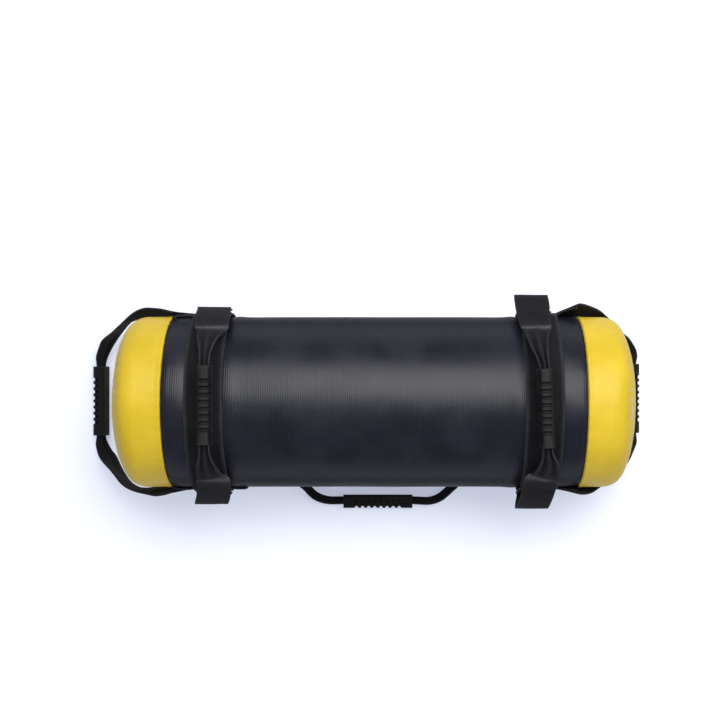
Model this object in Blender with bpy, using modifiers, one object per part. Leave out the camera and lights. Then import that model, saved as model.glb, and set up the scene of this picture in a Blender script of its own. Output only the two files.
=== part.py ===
import math

import bmesh
import bpy
from mathutils import Matrix, Vector

# A sandbag trainer lying on its side. Lengths are in metres and angles in degrees.
# X runs along the bag, Z is up, and the origin is the middle of the flat it rests on.

# The bag's outer form
bag_radius = 0.1025
settle_depth = 0.005
seam_half_length = 0.243
cap_length = 0.067
crown_bulge = 0.008
corner_radius = 0.029
axis_height = bag_radius - settle_depth
crown_half_length = seam_half_length + cap_length
round_steps = 48
corner_steps = 5
crown_steps = 3

# Cloth, padding and fill
clearance = 0.0004
cloth_thickness = 0.0015
tape_width = 0.030
tape_thickness = 0.0012
foam_thickness = 0.020
pouch_thickness = 0.001
sand_slack = 0.003

# Webbing
webbing_thickness = 0.0022
webbing_half_width = 0.020
girth_band_half_width = 0.022
girth_band_inset = 0.049
groove_ramp = 0.004
girth_band_x = seam_half_length - girth_band_inset

# Moulded grip
grip_length = 0.088
grip_width = 0.020
grip_depth = 0.019
grip_round = 0.0035
grip_round_steps = 2
rib_count = 7
rib_gap = 0.0048
rib_pitch = 0.0082
rib_depth = 0.0024
window_height = 0.0042
window_depth = 0.0028
window_drop = 0.0012
bore_half_width = 0.0086
bore_half_height = 0.0017
neck_half_width = 0.0080
neck_run = 0.009
cut_overrun = 0.002

# Front handles: each swings about Y through its sewn ends
front_handle_inset = 0.054
front_arch_rise = 0.0275
front_lap_length = 0.020
front_bulge_left_far = 0.0165
front_bulge_left_near = 0.0220
front_bulge_right_far = 0.0330
front_bulge_right_near = 0.0285
front_bulge_height = 0.026
front_fold_rise = 0.0150
front_fold_angle = 42.2
front_fold_share = 0.95
front_shoulder_rise = 0.0265
front_shoulder_angle = 60.3
front_end_length = 0.038

# End handles: each swings about Y through the ends of its tails
end_hinge_inset = 0.005
end_gap_left = 0.0316
end_tilt_left = 36.5
end_gap_right = 0.0070
end_tilt_right = 43.2
end_lap_length = 0.007
end_bulge_left_far = 0.0165
end_bulge_left_near = 0.0125
end_bulge_right_far = 0.0225
end_bulge_right_near = 0.0095
end_bulge_reach_left = 0.043
end_bulge_reach_right = 0.026
end_flank_back = 0.066
end_corner_inset = 0.0185
end_corner_back = 0.021
end_shoulder_run = 0.013
end_shoulder_back = 0.004
tail_inset = 0.001
tail_length = 0.087

# Side handle: it swings about X along the upper edge of its sewn ends. Its shares are
# of the way from the grip's neck to the girth band
side_end_angle = 42.0
side_end_outer_share = 0.748
side_end_inner_share = 0.462
side_lap_share = 0.496
side_grip_gap = 0.0255
side_grip_floor_gap = 0.0006
side_bend_share = 0.361
side_bend_gap = 0.0040
side_bend_height = 0.0185
side_bend_half_width = 0.015
side_turn_share = 0.193
side_turn_gap = 0.0250
side_turn_height = 0.0145
side_turn_half_width = 0.0115

# Layers of webbing on the bag, counted from the cloth outwards
shell_layer = bag_radius + clearance
band_layer = shell_layer + webbing_thickness + clearance
sewn_end_layer = band_layer + webbing_thickness + clearance
lap_layer = sewn_end_layer + webbing_thickness + clearance
groove_height = webbing_thickness + clearance
strap_steps = 48
smoothing_rounds = 3
patch_steps = 6

# Colours: red, green, blue, roughness, metallic
colours = {
    "body_cloth": (0.022, 0.023, 0.035, 0.45, 0.0),
    "cap_cloth": (0.82, 0.57, 0.035, 0.42, 0.0),
    "webbing": (0.013, 0.013, 0.015, 0.8, 0.0),
    "grip_rubber": (0.022, 0.022, 0.024, 0.5, 0.0),
    "seam_tape": (0.03, 0.03, 0.03, 0.8, 0.0),
    "foam": (0.55, 0.55, 0.52, 0.9, 0.0),
    "pouch_film": (0.65, 0.65, 0.62, 0.4, 0.0),
    "sand": (0.52, 0.4, 0.26, 0.95, 0.0),
}


def clear_scene():
    for thing in list(bpy.data.objects):
        bpy.data.objects.remove(thing)


def make_collection(name):
    collection = bpy.data.collections.new(name)
    bpy.context.scene.collection.children.link(collection)
    return collection


def make_materials():
    made = {}
    for name, (red, green, blue, roughness, metallic) in colours.items():
        material = bpy.data.materials.new(name)
        material.use_nodes = True
        shader = material.node_tree.nodes["Principled BSDF"]
        shader.inputs["Base Color"].default_value = (red, green, blue, 1)
        shader.inputs["Roughness"].default_value = roughness
        shader.inputs["Metallic"].default_value = metallic
        material.diffuse_color = (red, green, blue, 1)
        made[name] = material
    return made


def add_object(name, shape, material):
    mesh = bpy.data.meshes.new(name)
    shape.to_mesh(mesh)
    shape.free()
    mesh.shade_smooth()
    mesh.set_sharp_from_angle(angle=math.radians(40))
    mesh.materials.append(materials[material])
    thing = bpy.data.objects.new(name, mesh)
    parts.objects.link(thing)
    return thing


def thicken(thing, thickness, offset):
    modifier = thing.modifiers.new("thickness", "SOLIDIFY")
    modifier.thickness = thickness
    modifier.offset = offset
    modifier.use_even_offset = True
    return thing


# Round shapes, turned about the bag's axis


def turned(outline, floor_at):
    """Turns (x, radius) points about the bag's axis and presses them flat at the floor height."""
    shape = bmesh.new()
    points = [shape.verts.new((x, 0, axis_height - radius)) for x, radius in outline]
    edges = [shape.edges.new(pair) for pair in zip(points, points[1:])]
    bmesh.ops.spin(
        shape,
        geom=points + edges,
        cent=(0, 0, axis_height),
        axis=(1, 0, 0),
        angle=math.tau,
        steps=round_steps,
        use_merge=True,
    )
    bmesh.ops.remove_doubles(shape, verts=shape.verts, dist=clearance / 10)
    for vert in shape.verts:
        vert.co.z = max(vert.co.z, floor_at(vert.co.x))
    bmesh.ops.recalc_face_normals(shape, faces=shape.faces)
    return shape


def shell_floor(x):
    """The cloth rests on the floor, and is pressed in over each girth band."""
    band_edge = girth_band_half_width + clearance
    beyond = abs(abs(x) - girth_band_x) - band_edge
    share = min(max(1 - beyond / groove_ramp, 0), 1)
    return groove_height * share


def flat_floor(height):
    return lambda x: height


def cap_outline(inset, start_x):
    """From start_x along the wall, round the corner and over the crown, set in by inset."""
    corner_r = bag_radius - corner_radius
    slope = 2 * math.atan(crown_bulge / corner_r)
    crown_sphere = corner_r / math.sin(slope) + corner_radius - inset
    corner_x = crown_half_length - crown_bulge - corner_radius
    sphere_x = crown_half_length - inset - crown_sphere
    points = [(start_x, bag_radius - inset)]
    for step in range(corner_steps + 1):
        angle = math.pi / 2 - (math.pi / 2 - slope) * step / corner_steps
        run = corner_radius - inset
        points.append((corner_x + run * math.cos(angle), corner_r + run * math.sin(angle)))
    for step in range(1, crown_steps + 1):
        angle = slope * (1 - step / crown_steps)
        points.append((sphere_x + crown_sphere * math.cos(angle), crown_sphere * math.sin(angle)))
    points[-1] = (points[-1][0], 0)
    return points


def mirrored(outline, side):
    return [(side * x, radius) for x, radius in outline]


def make_shell():
    band_edge = girth_band_half_width + clearance
    stations = [seam_half_length - clearance / 2]
    stations += [girth_band_x + band_edge + groove_ramp, girth_band_x + band_edge]
    stations += [girth_band_x - band_edge, girth_band_x - band_edge - groove_ramp]
    outline = [(-x, bag_radius) for x in stations]
    outline += [(x, bag_radius) for x in reversed(stations)]
    shell = add_object("body_shell", turned(outline, shell_floor), "body_cloth")
    thicken(shell, cloth_thickness, -1)


def make_ends(side, hand):
    seam_x = seam_half_length + clearance / 2
    cap = turned(mirrored(cap_outline(0, seam_x), side), flat_floor(0))
    thicken(add_object("end_cap_" + hand, cap, "cap_cloth"), cloth_thickness, -1)

    tape_radius = bag_radius - cloth_thickness - clearance
    tape_inner_x = seam_half_length - tape_width / 2
    tape_outer_x = seam_half_length + tape_width / 2
    tape_floor = cloth_thickness + groove_height + clearance
    outline = [(side * tape_inner_x, tape_radius), (side * tape_outer_x, tape_radius)]
    tape = turned(outline, flat_floor(tape_floor))
    thicken(add_object("seam_tape_" + hand, tape, "seam_tape"), tape_thickness, -1)

    foam_inset = cloth_thickness + tape_thickness + clearance * 2
    foam_floor = cloth_thickness + tape_thickness + groove_height + clearance * 2
    profile = cap_outline(foam_inset, sleeve_half_length + clearance)
    profile = [(sleeve_half_length + clearance, 0)] + profile
    pad = turned(mirrored(profile, side), flat_floor(foam_floor))
    add_object("foam_end_" + hand, pad, "foam")


def make_filling():
    foam_radius = bag_radius - cloth_thickness - tape_thickness - clearance * 2
    foam_floor = cloth_thickness + tape_thickness + groove_height + clearance * 2
    outline = [(-sleeve_half_length, foam_radius), (sleeve_half_length, foam_radius)]
    sleeve = add_object("foam_sleeve", turned(outline, flat_floor(foam_floor)), "foam")
    thicken(sleeve, foam_thickness, -1)

    pouch_radius = foam_radius - foam_thickness - clearance
    pouch_floor = foam_floor + foam_thickness + clearance
    pouch_x = sleeve_half_length - clearance
    mouth_x = pouch_x - pouch_thickness - clearance
    outline = [(-pouch_x, 0), (-pouch_x, pouch_radius), (mouth_x, pouch_radius)]
    pouch = add_object("filler_pouch", turned(outline, flat_floor(pouch_floor)), "pouch_film")
    thicken(pouch, pouch_thickness, -1)

    outline = [(mouth_x + clearance, 0), (mouth_x + clearance, pouch_radius)]
    outline += [(pouch_x, pouch_radius), (pouch_x, 0)]
    add_object("filler_pouch_end", turned(outline, flat_floor(pouch_floor)), "pouch_film")

    sand_radius = pouch_radius - pouch_thickness - clearance
    sand_floor = pouch_floor + pouch_thickness + clearance
    sand_x = mouth_x - sand_slack
    outline = [(-sand_x, 0), (-sand_x, sand_radius), (sand_x, sand_radius), (sand_x, 0)]
    add_object("sand_fill", turned(outline, flat_floor(sand_floor)), "sand")


# Webbing sewn flat on the bag


def side_lift(angle):
    """How far a girth band is raised where it crosses the tails on the bag's two sides."""
    tail_angle = math.asin(webbing_half_width / bag_radius)
    ramp_angle = tail_angle
    beyond = abs(angle) - tail_angle - ramp_angle / 2
    share = min(max(1 - beyond / ramp_angle, 0), 1)
    return (band_layer - shell_layer) * share


def make_girth_band(side, hand):
    inner_x = side * (girth_band_x - girth_band_half_width)
    outer_x = side * (girth_band_x + girth_band_half_width)
    band = turned([(inner_x, shell_layer), (outer_x, shell_layer)], flat_floor(-bag_radius))
    for vert in band.verts:
        offset = Vector((0, vert.co.y, vert.co.z - axis_height))
        lift = side_lift(math.atan2(offset.z, abs(offset.y)))
        offset *= (shell_layer + lift + webbing_thickness) / offset.length
        vert.co = (vert.co.x, offset.y, max(axis_height + offset.z, 0))
    thicken(add_object("girth_band_" + hand, band, "webbing"), webbing_thickness, -1)


def sewn_patch(name, x_range, angle_range, layer_at, side):
    """Flat webbing laid on the round of the bag, on the side given as 1 for +Y or -1 for -Y."""
    shape = bmesh.new()
    bmesh.ops.create_grid(shape, x_segments=2, y_segments=patch_steps, size=1)
    middle_x = sum(x_range) / 2
    half_x = (x_range[1] - x_range[0]) / 2
    middle_angle = math.radians(sum(angle_range) / 2)
    half_angle = math.radians(angle_range[1] - angle_range[0]) / 2
    for vert in shape.verts:
        angle = middle_angle + half_angle * vert.co.y
        radius = layer_at(angle)
        x = middle_x + half_x * vert.co.x
        y = side * radius * math.cos(angle)
        vert.co = (x, y, axis_height + radius * math.sin(angle))
    bmesh.ops.recalc_face_normals(shape, faces=shape.faces)
    for face in shape.faces:
        centre = face.calc_center_median()
        if face.normal.dot(centre - Vector((centre.x, 0, axis_height))) < 0:
            face.normal_flip()
    return thicken(add_object(name, shape, "webbing"), webbing_thickness, 1)


def make_tail(side, hand, across, place):
    half_angle = math.degrees(math.asin(webbing_half_width / bag_radius))
    tail_outer_x = seam_half_length - tail_inset
    x_range = sorted((side * (tail_outer_x - tail_length), side * tail_outer_x))
    name = "end_strap_tail_" + hand + "_" + place
    sewn_patch(name, x_range, (-half_angle, half_angle), lambda angle: shell_layer, across)


def make_front_end(side, hand, across, place):
    half_width = webbing_half_width
    middle_x = side * (seam_half_length - front_handle_inset)
    x_range = (middle_x - half_width, middle_x + half_width)
    length_angle = math.degrees(front_end_length / bag_radius)
    top_angle = math.degrees(math.asin(webbing_half_width / bag_radius)) / 2
    name = "front_strap_end_" + hand + "_" + place

    def layer_at(angle):
        return band_layer + side_lift(angle)

    sewn_patch(name, x_range, (top_angle - length_angle, top_angle), layer_at, across)


def side_x(share):
    """A place along the side handle, from the grip's neck at 0 to the girth band at 1."""
    neck_x = grip_length / 2 + neck_run
    return neck_x + share * (girth_band_x - girth_band_half_width - neck_x)


def make_side_end(side, hand):
    half_angle = math.degrees(math.asin(webbing_half_width / bag_radius))
    x_range = sorted((side * side_x(side_end_inner_share), side * side_x(side_end_outer_share)))
    angle_range = (-side_end_angle - half_angle, -side_end_angle + half_angle)
    sewn_patch("side_strap_end_" + hand, x_range, angle_range, lambda angle: shell_layer, -1)


# Webbing loops that swing, each modelled in its pivot's frame: Y across and Z outwards


def smooth_route(points, rounds):
    """Cuts the corners of a route again and again, so that it bends smoothly and keeps its ends."""
    for _ in range(rounds):
        cut = [points[0]]
        for here, there in zip(points, points[1:]):
            cut += [here.lerp(there, 0.25), here.lerp(there, 0.75)]
        points = cut + [points[-1]]
    return points


def resample(fine, count):
    """Points of the route at even steps along its length."""
    lengths = [0]
    for here, there in zip(fine, fine[1:]):
        lengths.append(lengths[-1] + math.dist(here[:3], there[:3]))
    route = []
    index = 0
    for step in range(count + 1):
        target = lengths[-1] * step / count
        while index < len(fine) - 2 and lengths[index + 1] < target:
            index += 1
        span = lengths[index + 1] - lengths[index]
        route.append(fine[index].lerp(fine[index + 1], (target - lengths[index]) / span))
    return route


def webbing_loop(name, knots):
    """A flat strap along knots of (x, y, z, half width, lean of its width from X in radians)."""
    route = smooth_route([Vector(knot) for knot in knots], smoothing_rounds)
    route = resample(route, strap_steps)
    shape = bmesh.new()
    bmesh.ops.create_grid(shape, x_segments=1, y_segments=strap_steps, size=1)
    for vert in shape.verts:
        point = route[round((vert.co.y + 1) / 2 * strap_steps)]
        x, y, z, half_width, lean = point
        reach = vert.co.x * half_width
        vert.co = (x + reach * math.cos(lean), y, z + reach * math.sin(lean))
    bmesh.ops.recalc_face_normals(shape, faces=shape.faces)
    return thicken(add_object(name, shape, "webbing"), webbing_thickness, 0)


def make_grip_mesh():
    """The moulded grip with its bore, comb of ribs and side windows, along Y, ribs at +Z."""
    shape = bmesh.new()
    size = Matrix.Diagonal((grip_width, grip_length, grip_depth, 1))
    bmesh.ops.create_cube(shape, size=1, matrix=size)
    grip = add_object("grip_blank", shape, "grip_rubber")
    bevel = grip.modifiers.new("edges", "BEVEL")
    bevel.width = grip_round
    bevel.segments = grip_round_steps
    cuts = bmesh.new()

    def cut_box(centre, half_sizes):
        place = Matrix.Translation(centre) @ Matrix.Diagonal([2 * half for half in half_sizes] + [1])
        bmesh.ops.create_cube(cuts, size=1, matrix=place)

    bore_half_length = grip_length / 2 + cut_overrun
    cut_box((0, 0, 0), (bore_half_width, bore_half_length, bore_half_height))
    top = grip_depth / 2
    window_z = top - rib_depth - window_drop - window_height / 2
    window_half = (window_depth + cut_overrun) / 2
    for index in range(rib_count + 1):
        y = (index - rib_count / 2) * rib_pitch
        groove_half = (rib_depth + cut_overrun) / 2
        groove_z = top - rib_depth + groove_half
        cut_box((0, y, groove_z), (grip_width / 2 + cut_overrun, rib_gap / 2, groove_half))
        for side in (-1, 1):
            window_x = side * (grip_width / 2 - window_depth + window_half)
            cut_box((window_x, y, window_z), (window_half, rib_gap / 2, window_height / 2))
    cutter_mesh = bpy.data.meshes.new("grip_cuts")
    cuts.to_mesh(cutter_mesh)
    cuts.free()
    cutter = bpy.data.objects.new("grip_cuts", cutter_mesh)
    cutter.display_type = "WIRE"
    cutter.hide_render = True
    cutters.objects.link(cutter)
    modifier = grip.modifiers.new("bore_ribs_windows", "BOOLEAN")
    modifier.object = cutter
    modifier.operation = "DIFFERENCE"
    modifier.solver = "EXACT"
    graph = bpy.context.evaluated_depsgraph_get()
    mesh = bpy.data.meshes.new_from_object(grip.evaluated_get(graph))
    bpy.data.objects.remove(grip)
    return mesh


def make_pivot(name, matrix):
    pivot = bpy.data.objects.new(name, None)
    pivot.matrix_world = matrix
    parts.objects.link(pivot)
    return pivot


def add_grip(name, pivot, place):
    grip = bpy.data.objects.new(name, grip_mesh)
    parts.objects.link(grip)
    grip.parent = pivot
    grip.matrix_local = place


def off_the_round(rise, angle):
    """Across and up from the bag's axis, to a point that stands off the cloth by rise."""
    reach = bag_radius + rise
    return reach * math.cos(math.radians(angle)), reach * math.sin(math.radians(angle))


def make_front_handle(side, hand, far_bulge, near_bulge):
    pivot_x = side * (seam_half_length - front_handle_inset)
    matrix = Matrix.Translation((pivot_x, 0, axis_height))
    pivot = make_pivot("front_handle_pivot_" + hand, matrix)
    lap_y = lap_layer + webbing_thickness / 2
    neck_y = grip_length / 2
    full = webbing_half_width
    arch = bag_radius + front_arch_rise
    fold_y, fold_z = off_the_round(front_fold_rise, front_fold_angle)
    shoulder_y, shoulder_z = off_the_round(front_shoulder_rise, front_shoulder_angle)

    def one_side(across, bulge):
        return [
            (0, across * lap_y, -front_lap_length, full, 0),
            (0, across * lap_y, 0, full, 0),
            (0, across * (bag_radius + bulge), front_bulge_height, full, 0),
            (0, across * (fold_y + bulge / 2), (front_bulge_height + fold_z) / 2, full, 0),
            (0, across * fold_y, fold_z, full * front_fold_share, 0),
            (0, across * shoulder_y, shoulder_z, (full + neck_half_width) / 2, 0),
            (0, across * (neck_y + neck_run), arch, neck_half_width, 0),
        ]

    far = one_side(1, far_bulge)
    near = one_side(-1, near_bulge)
    middle = [(0, neck_y, arch, neck_half_width, 0), (0, -neck_y, arch, neck_half_width, 0)]
    strap = webbing_loop("front_strap_" + hand, far + middle + near[::-1])
    strap.parent = pivot
    add_grip("front_grip_" + hand, pivot, Matrix.Translation((0, 0, arch)))


def cap_reach(tilt):
    """How far the cap's corner stands from the end handle's hinge, straight down the tilt."""
    out = cap_length + end_hinge_inset - crown_bulge - corner_radius
    down = bag_radius - corner_radius
    angle = math.radians(tilt)
    return out * math.cos(angle) + down * math.sin(angle) + corner_radius


def make_end_handle(side, hand, gap, tilt, bulge_reach, bulges):
    reach = cap_reach(tilt) + gap + grip_depth / 2
    pivot_x = side * (seam_half_length - end_hinge_inset)
    turn = side * math.radians(90 + tilt)
    matrix = Matrix.Translation((pivot_x, 0, axis_height)) @ Matrix.Rotation(turn, 4, "Y")
    pivot = make_pivot("end_handle_pivot_" + hand, matrix)
    lap_y = band_layer + webbing_thickness / 2
    neck_y = grip_length / 2
    full = webbing_half_width

    def one_side(across, bulge):
        return [
            (0, across * lap_y, -end_lap_length, full, 0),
            (0, across * lap_y, 0, full, 0),
            (0, across * (bag_radius + bulge), bulge_reach, full, 0),
            (0, across * lap_y, reach - end_flank_back, full, 0),
            (0, across * (bag_radius - end_corner_inset), reach - end_corner_back, corner_half_width, 0),
            (0, across * (neck_y + end_shoulder_run), reach - end_shoulder_back, neck_half_width, 0),
            (0, across * (neck_y + neck_run), reach, neck_half_width, 0),
        ]

    corner_half_width = (full + neck_half_width) / 2
    middle = [(0, neck_y, reach, neck_half_width, 0), (0, -neck_y, reach, neck_half_width, 0)]
    knots = one_side(1, bulges[0]) + middle + one_side(-1, bulges[1])[::-1]
    strap = webbing_loop("end_strap_" + hand, knots)
    strap.parent = pivot
    add_grip("end_grip_" + hand, pivot, Matrix.Translation((0, 0, reach)))


def make_side_handle():
    # World X runs along the loop, so the pivot's Y lies on it, its Z points to -Y and its X points down.
    frame = Matrix(((0, 1, 0), (0, 0, -1), (-1, 0, 0))).to_4x4()
    lap_radius = band_layer + webbing_thickness / 2
    angle = math.radians(side_end_angle)
    end_y = -lap_radius * math.cos(angle)
    end_z = axis_height - lap_radius * math.sin(angle)
    hinge_y = end_y - webbing_half_width * math.sin(angle)
    hinge_z = end_z + webbing_half_width * math.cos(angle)
    pivot = make_pivot("side_handle_pivot", Matrix.Translation((0, hinge_y, hinge_z)) @ frame)
    grip_y = -(bag_radius + side_grip_gap)
    grip_z = grip_width / 2 + side_grip_floor_gap
    bend_y = -(bag_radius + side_bend_gap)
    turn_y = -(bag_radius + side_turn_gap)
    end_x, lap_x = side_x(side_end_outer_share), side_x(side_lap_share)
    bend_x, turn_x = side_x(side_bend_share), side_x(side_turn_share)

    def knot(x, y, z, half_width, lean):
        return (hinge_z - z, x, hinge_y - y, half_width, lean)

    def one_side(across):
        return [
            knot(across * end_x, end_y, end_z, webbing_half_width, -angle),
            knot(across * lap_x, end_y, end_z, webbing_half_width, -angle),
            knot(across * bend_x, bend_y, side_bend_height, side_bend_half_width, -angle / 3),
            knot(across * turn_x, turn_y, side_turn_height, side_turn_half_width, 0),
            knot(across * (grip_length / 2 + neck_run), grip_y, grip_z, neck_half_width, 0),
        ]

    middle = [knot(grip_length / 2, grip_y, grip_z, neck_half_width, 0)]
    middle += [knot(-grip_length / 2, grip_y, grip_z, neck_half_width, 0)]
    strap = webbing_loop("side_strap", one_side(1) + middle + one_side(-1)[::-1])
    strap.parent = pivot
    place = Matrix.Translation((hinge_z - grip_z, 0, hinge_y - grip_y))
    add_grip("side_grip", pivot, place)


clear_scene()
parts = make_collection("sandbag_trainer")
cutters = make_collection("cutters")
materials = make_materials()
sleeve_half_length = seam_half_length + tape_width / 2 + clearance
make_shell()
make_filling()
grip_mesh = make_grip_mesh()
bulges = {
    "left": (front_bulge_left_far, front_bulge_left_near),
    "right": (front_bulge_right_far, front_bulge_right_near),
}
end_loops = {
    "left": (end_gap_left, end_tilt_left, end_bulge_reach_left),
    "right": (end_gap_right, end_tilt_right, end_bulge_reach_right),
}
end_bulges = {
    "left": (end_bulge_left_far, end_bulge_left_near),
    "right": (end_bulge_right_far, end_bulge_right_near),
}
for side, hand in ((-1, "left"), (1, "right")):
    make_ends(side, hand)
    make_girth_band(side, hand)
    make_front_handle(side, hand, *bulges[hand])
    make_end_handle(side, hand, *end_loops[hand], end_bulges[hand])
    make_side_end(side, hand)
    for across, place in ((1, "far"), (-1, "near")):
        make_tail(side, hand, across, place)
        make_front_end(side, hand, across, place)
make_side_handle()
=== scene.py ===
import math

import bmesh
import bpy
from mathutils import Matrix, Vector, noise
from mathutils.bvhtree import BVHTree


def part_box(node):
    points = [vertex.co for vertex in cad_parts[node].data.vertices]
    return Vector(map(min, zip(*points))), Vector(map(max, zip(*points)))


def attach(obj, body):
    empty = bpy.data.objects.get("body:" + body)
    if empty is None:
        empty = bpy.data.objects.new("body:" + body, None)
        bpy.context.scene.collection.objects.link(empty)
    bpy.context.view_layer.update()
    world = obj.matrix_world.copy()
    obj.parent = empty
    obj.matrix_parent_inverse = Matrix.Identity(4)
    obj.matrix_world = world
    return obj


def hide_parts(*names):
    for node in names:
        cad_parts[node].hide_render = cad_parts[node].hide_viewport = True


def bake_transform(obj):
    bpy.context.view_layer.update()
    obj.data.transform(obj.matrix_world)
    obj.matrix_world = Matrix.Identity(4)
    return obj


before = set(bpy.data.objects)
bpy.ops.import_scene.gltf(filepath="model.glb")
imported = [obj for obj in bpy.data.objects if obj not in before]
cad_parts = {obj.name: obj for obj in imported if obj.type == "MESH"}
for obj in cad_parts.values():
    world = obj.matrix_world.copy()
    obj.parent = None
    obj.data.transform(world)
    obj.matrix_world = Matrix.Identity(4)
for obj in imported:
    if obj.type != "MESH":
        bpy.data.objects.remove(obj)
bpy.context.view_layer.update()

# The bag lies along X, far side at +Y. All lengths in this file are metres, all angles degrees.
shellLow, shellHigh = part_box("body_shell")
bagRadius = (shellHigh.y - shellLow.y) / 2
axisHeight = shellHigh.z - bagRadius
seamX = shellHigh.x
bandLow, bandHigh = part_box("girth_band_right")
bandX = (bandLow.x + bandHigh.x) / 2
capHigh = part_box("end_cap_right")[1]
print("frame loaded: radius", round(bagRadius, 4), "axis", round(axisHeight, 4), "seam", round(seamX, 4))

# studio
studio = {
    "cameraPlace": (0.0207, 0.0468, 1.6425),  # straight above, a little right of the bag's middle
    "lens": 63.31,
    "shift": (-0.0413, 0.00085),  # the photograph is cropped a little off its own centre
    "keyPlace": (0.27, 0.80, 1.85),
    "keySize": (2.4, 1.5),
    "keyPower": 44,
    "sunPlace": (0.42, 0.72, 1.60),  # smaller than the key, for the shadow's shape, and it gives no highlight
    "sunSize": (0.8, 0.8),
    "sunPower": 9,
    "nearPlace": (-0.1, -1.2, 1.2),  # weak light from the near side that gives no highlight
    "nearSize": (2.2, 1.0),
    "nearPower": 9,
    "fill": (0.115, 0.127, 0.165),  # weak light from all round
    "backdrop": (0.93, 0.94, 0.96),
    "floorTone": (0.65, 0.65, 0.66),
    "floorGlow": (0.37, 0.40, 0.505),  # light that comes up through the floor and tints the shadow
    "glowShare": 0.60,  # how much of that glow the bag gets
    "floorDrop": 0.0004,
    "floorSize": 8,
    "floorRoughness": 0.85,
    "floorSpecular": 0.1,
    "floorClouds": (1.2, 0.99),  # scale, and the tone of the darker places
}


def deselect():
    if bpy.context.mode != "OBJECT":
        bpy.ops.object.mode_set(mode="OBJECT")
    bpy.ops.object.select_all(action="DESELECT")


def pick(piece):
    deselect()
    piece.select_set(True)
    bpy.context.view_layer.objects.active = piece


def addObject(name, data):
    thing = bpy.data.objects.new(name, data)
    bpy.context.scene.collection.objects.link(thing)
    return thing


def addSoftbox(name):
    light = bpy.data.lights.new(name + "Softbox", "AREA")
    light.shape = "RECTANGLE"
    light.size, light.size_y = studio[name + "Size"]
    light.energy = studio[name + "Power"]
    lamp = addObject(name + "Softbox", light)
    lamp.location = studio[name + "Place"]
    toBag = Vector((0, 0, axisHeight)) - lamp.location
    lamp.rotation_euler = toBag.to_track_quat("-Z", "Y").to_euler()
    lamp.visible_glossy = name == "key"


def makeStudio():
    lensData = bpy.data.cameras.new("photoCamera")
    lensData.lens = studio["lens"]
    lensData.shift_x, lensData.shift_y = studio["shift"]
    camera = addObject("photoCamera", lensData)
    camera.location = studio["cameraPlace"]
    bpy.context.scene.camera = camera
    for name in ("key", "sun", "near"):
        addSoftbox(name)
    world = bpy.data.worlds.new("studioAir")
    bpy.context.scene.world = world
    world.use_nodes = True
    nodes, links = world.node_tree.nodes, world.node_tree.links
    nodes["Background"].inputs["Color"].default_value = (*studio["fill"], 1)
    seen = nodes.new("ShaderNodeBackground")
    seen.inputs["Color"].default_value = (*studio["backdrop"], 1)
    path = nodes.new("ShaderNodeLightPath")
    mix = nodes.new("ShaderNodeMixShader")
    links.new(path.outputs["Is Camera Ray"], mix.inputs["Fac"])
    links.new(nodes["Background"].outputs[0], mix.inputs[1])
    links.new(seen.outputs[0], mix.inputs[2])
    links.new(mix.outputs[0], nodes["World Output"].inputs["Surface"])
    bpy.context.scene.view_settings.view_transform = "Standard"


makeStudio()
print("studio ready")

# shared effects, each a node group
effects = {
    "ribDrift": 9,  # scale of the noise that lets the ribs waver
    "ribFaintness": (160, 9, 9),  # stretch of the noise that makes ribs fade in and out
    "ribStrength": (0.3, 0.7, 0.55, 1),  # here and below: from low, from high, to low, to high
    "broadGrain": 0.02,  # scale of the patches as a share of the grain's
    "patches": (0.35, 0.65, 0, 1),
    "yarnRound": 0.6,
    "columnRound": 0.5,
    "fuzzScale": 2600,
    "fuzzShare": 0.15,
    "yarnTone": (0.15, 0.95, 0, 1),
    "rubStreaks": (0.30, 0.6, 0.55, 1),
    "dustScale": 22,
    "dustPatches": (0.45, 0.8, 0, 1),
}


def plug(tree, socket, value):
    # an output is linked to the socket, a number or a colour is set on it
    if isinstance(value, bpy.types.NodeSocket):
        tree.links.new(value, socket)
    else:
        socket.default_value = (*value, 1) if socket.type == "RGBA" else value


def startGroup(name, inputs, outputs):
    group = bpy.data.node_groups.new(name, "ShaderNodeTree")
    for socket, value in inputs.items():
        kind = "NodeSocketVector" if isinstance(value, tuple) else "NodeSocketFloat"
        group.interface.new_socket(socket, in_out="INPUT", socket_type=kind).default_value = value
    for socket in outputs:
        group.interface.new_socket(socket, in_out="OUTPUT", socket_type="NodeSocketFloat")
    return group, group.nodes.new("NodeGroupInput").outputs, group.nodes.new("NodeGroupOutput").inputs


def compute(tree, operation, *values, clamp=False):
    node = tree.nodes.new("ShaderNodeMath")
    node.operation = operation
    node.use_clamp = clamp
    for socket, value in zip(node.inputs, values):
        plug(tree, socket, value)
    return node.outputs[0]


def times(tree, first, second, clamp=False):
    return compute(tree, "MULTIPLY", first, second, clamp=clamp)


def spread(tree, value, limits, smooth=False):
    # limits: from low, from high, to low, to high
    node = tree.nodes.new("ShaderNodeMapRange")
    if smooth:
        node.interpolation_type = "SMOOTHSTEP"
    tree.links.new(value, node.inputs["Value"])
    for socket, number in zip(("From Min", "From Max", "To Min", "To Max"), limits):
        node.inputs[socket].default_value = number
    return node.outputs["Result"]


def noiseOf(tree, vector, scale, detail=3.0, roughness=0.5):
    node = tree.nodes.new("ShaderNodeTexNoise")
    for socket, value in (("Vector", vector), ("Scale", scale), ("Detail", detail), ("Roughness", roughness)):
        plug(tree, node.inputs[socket], value)
    return node.outputs["Fac"]


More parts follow.
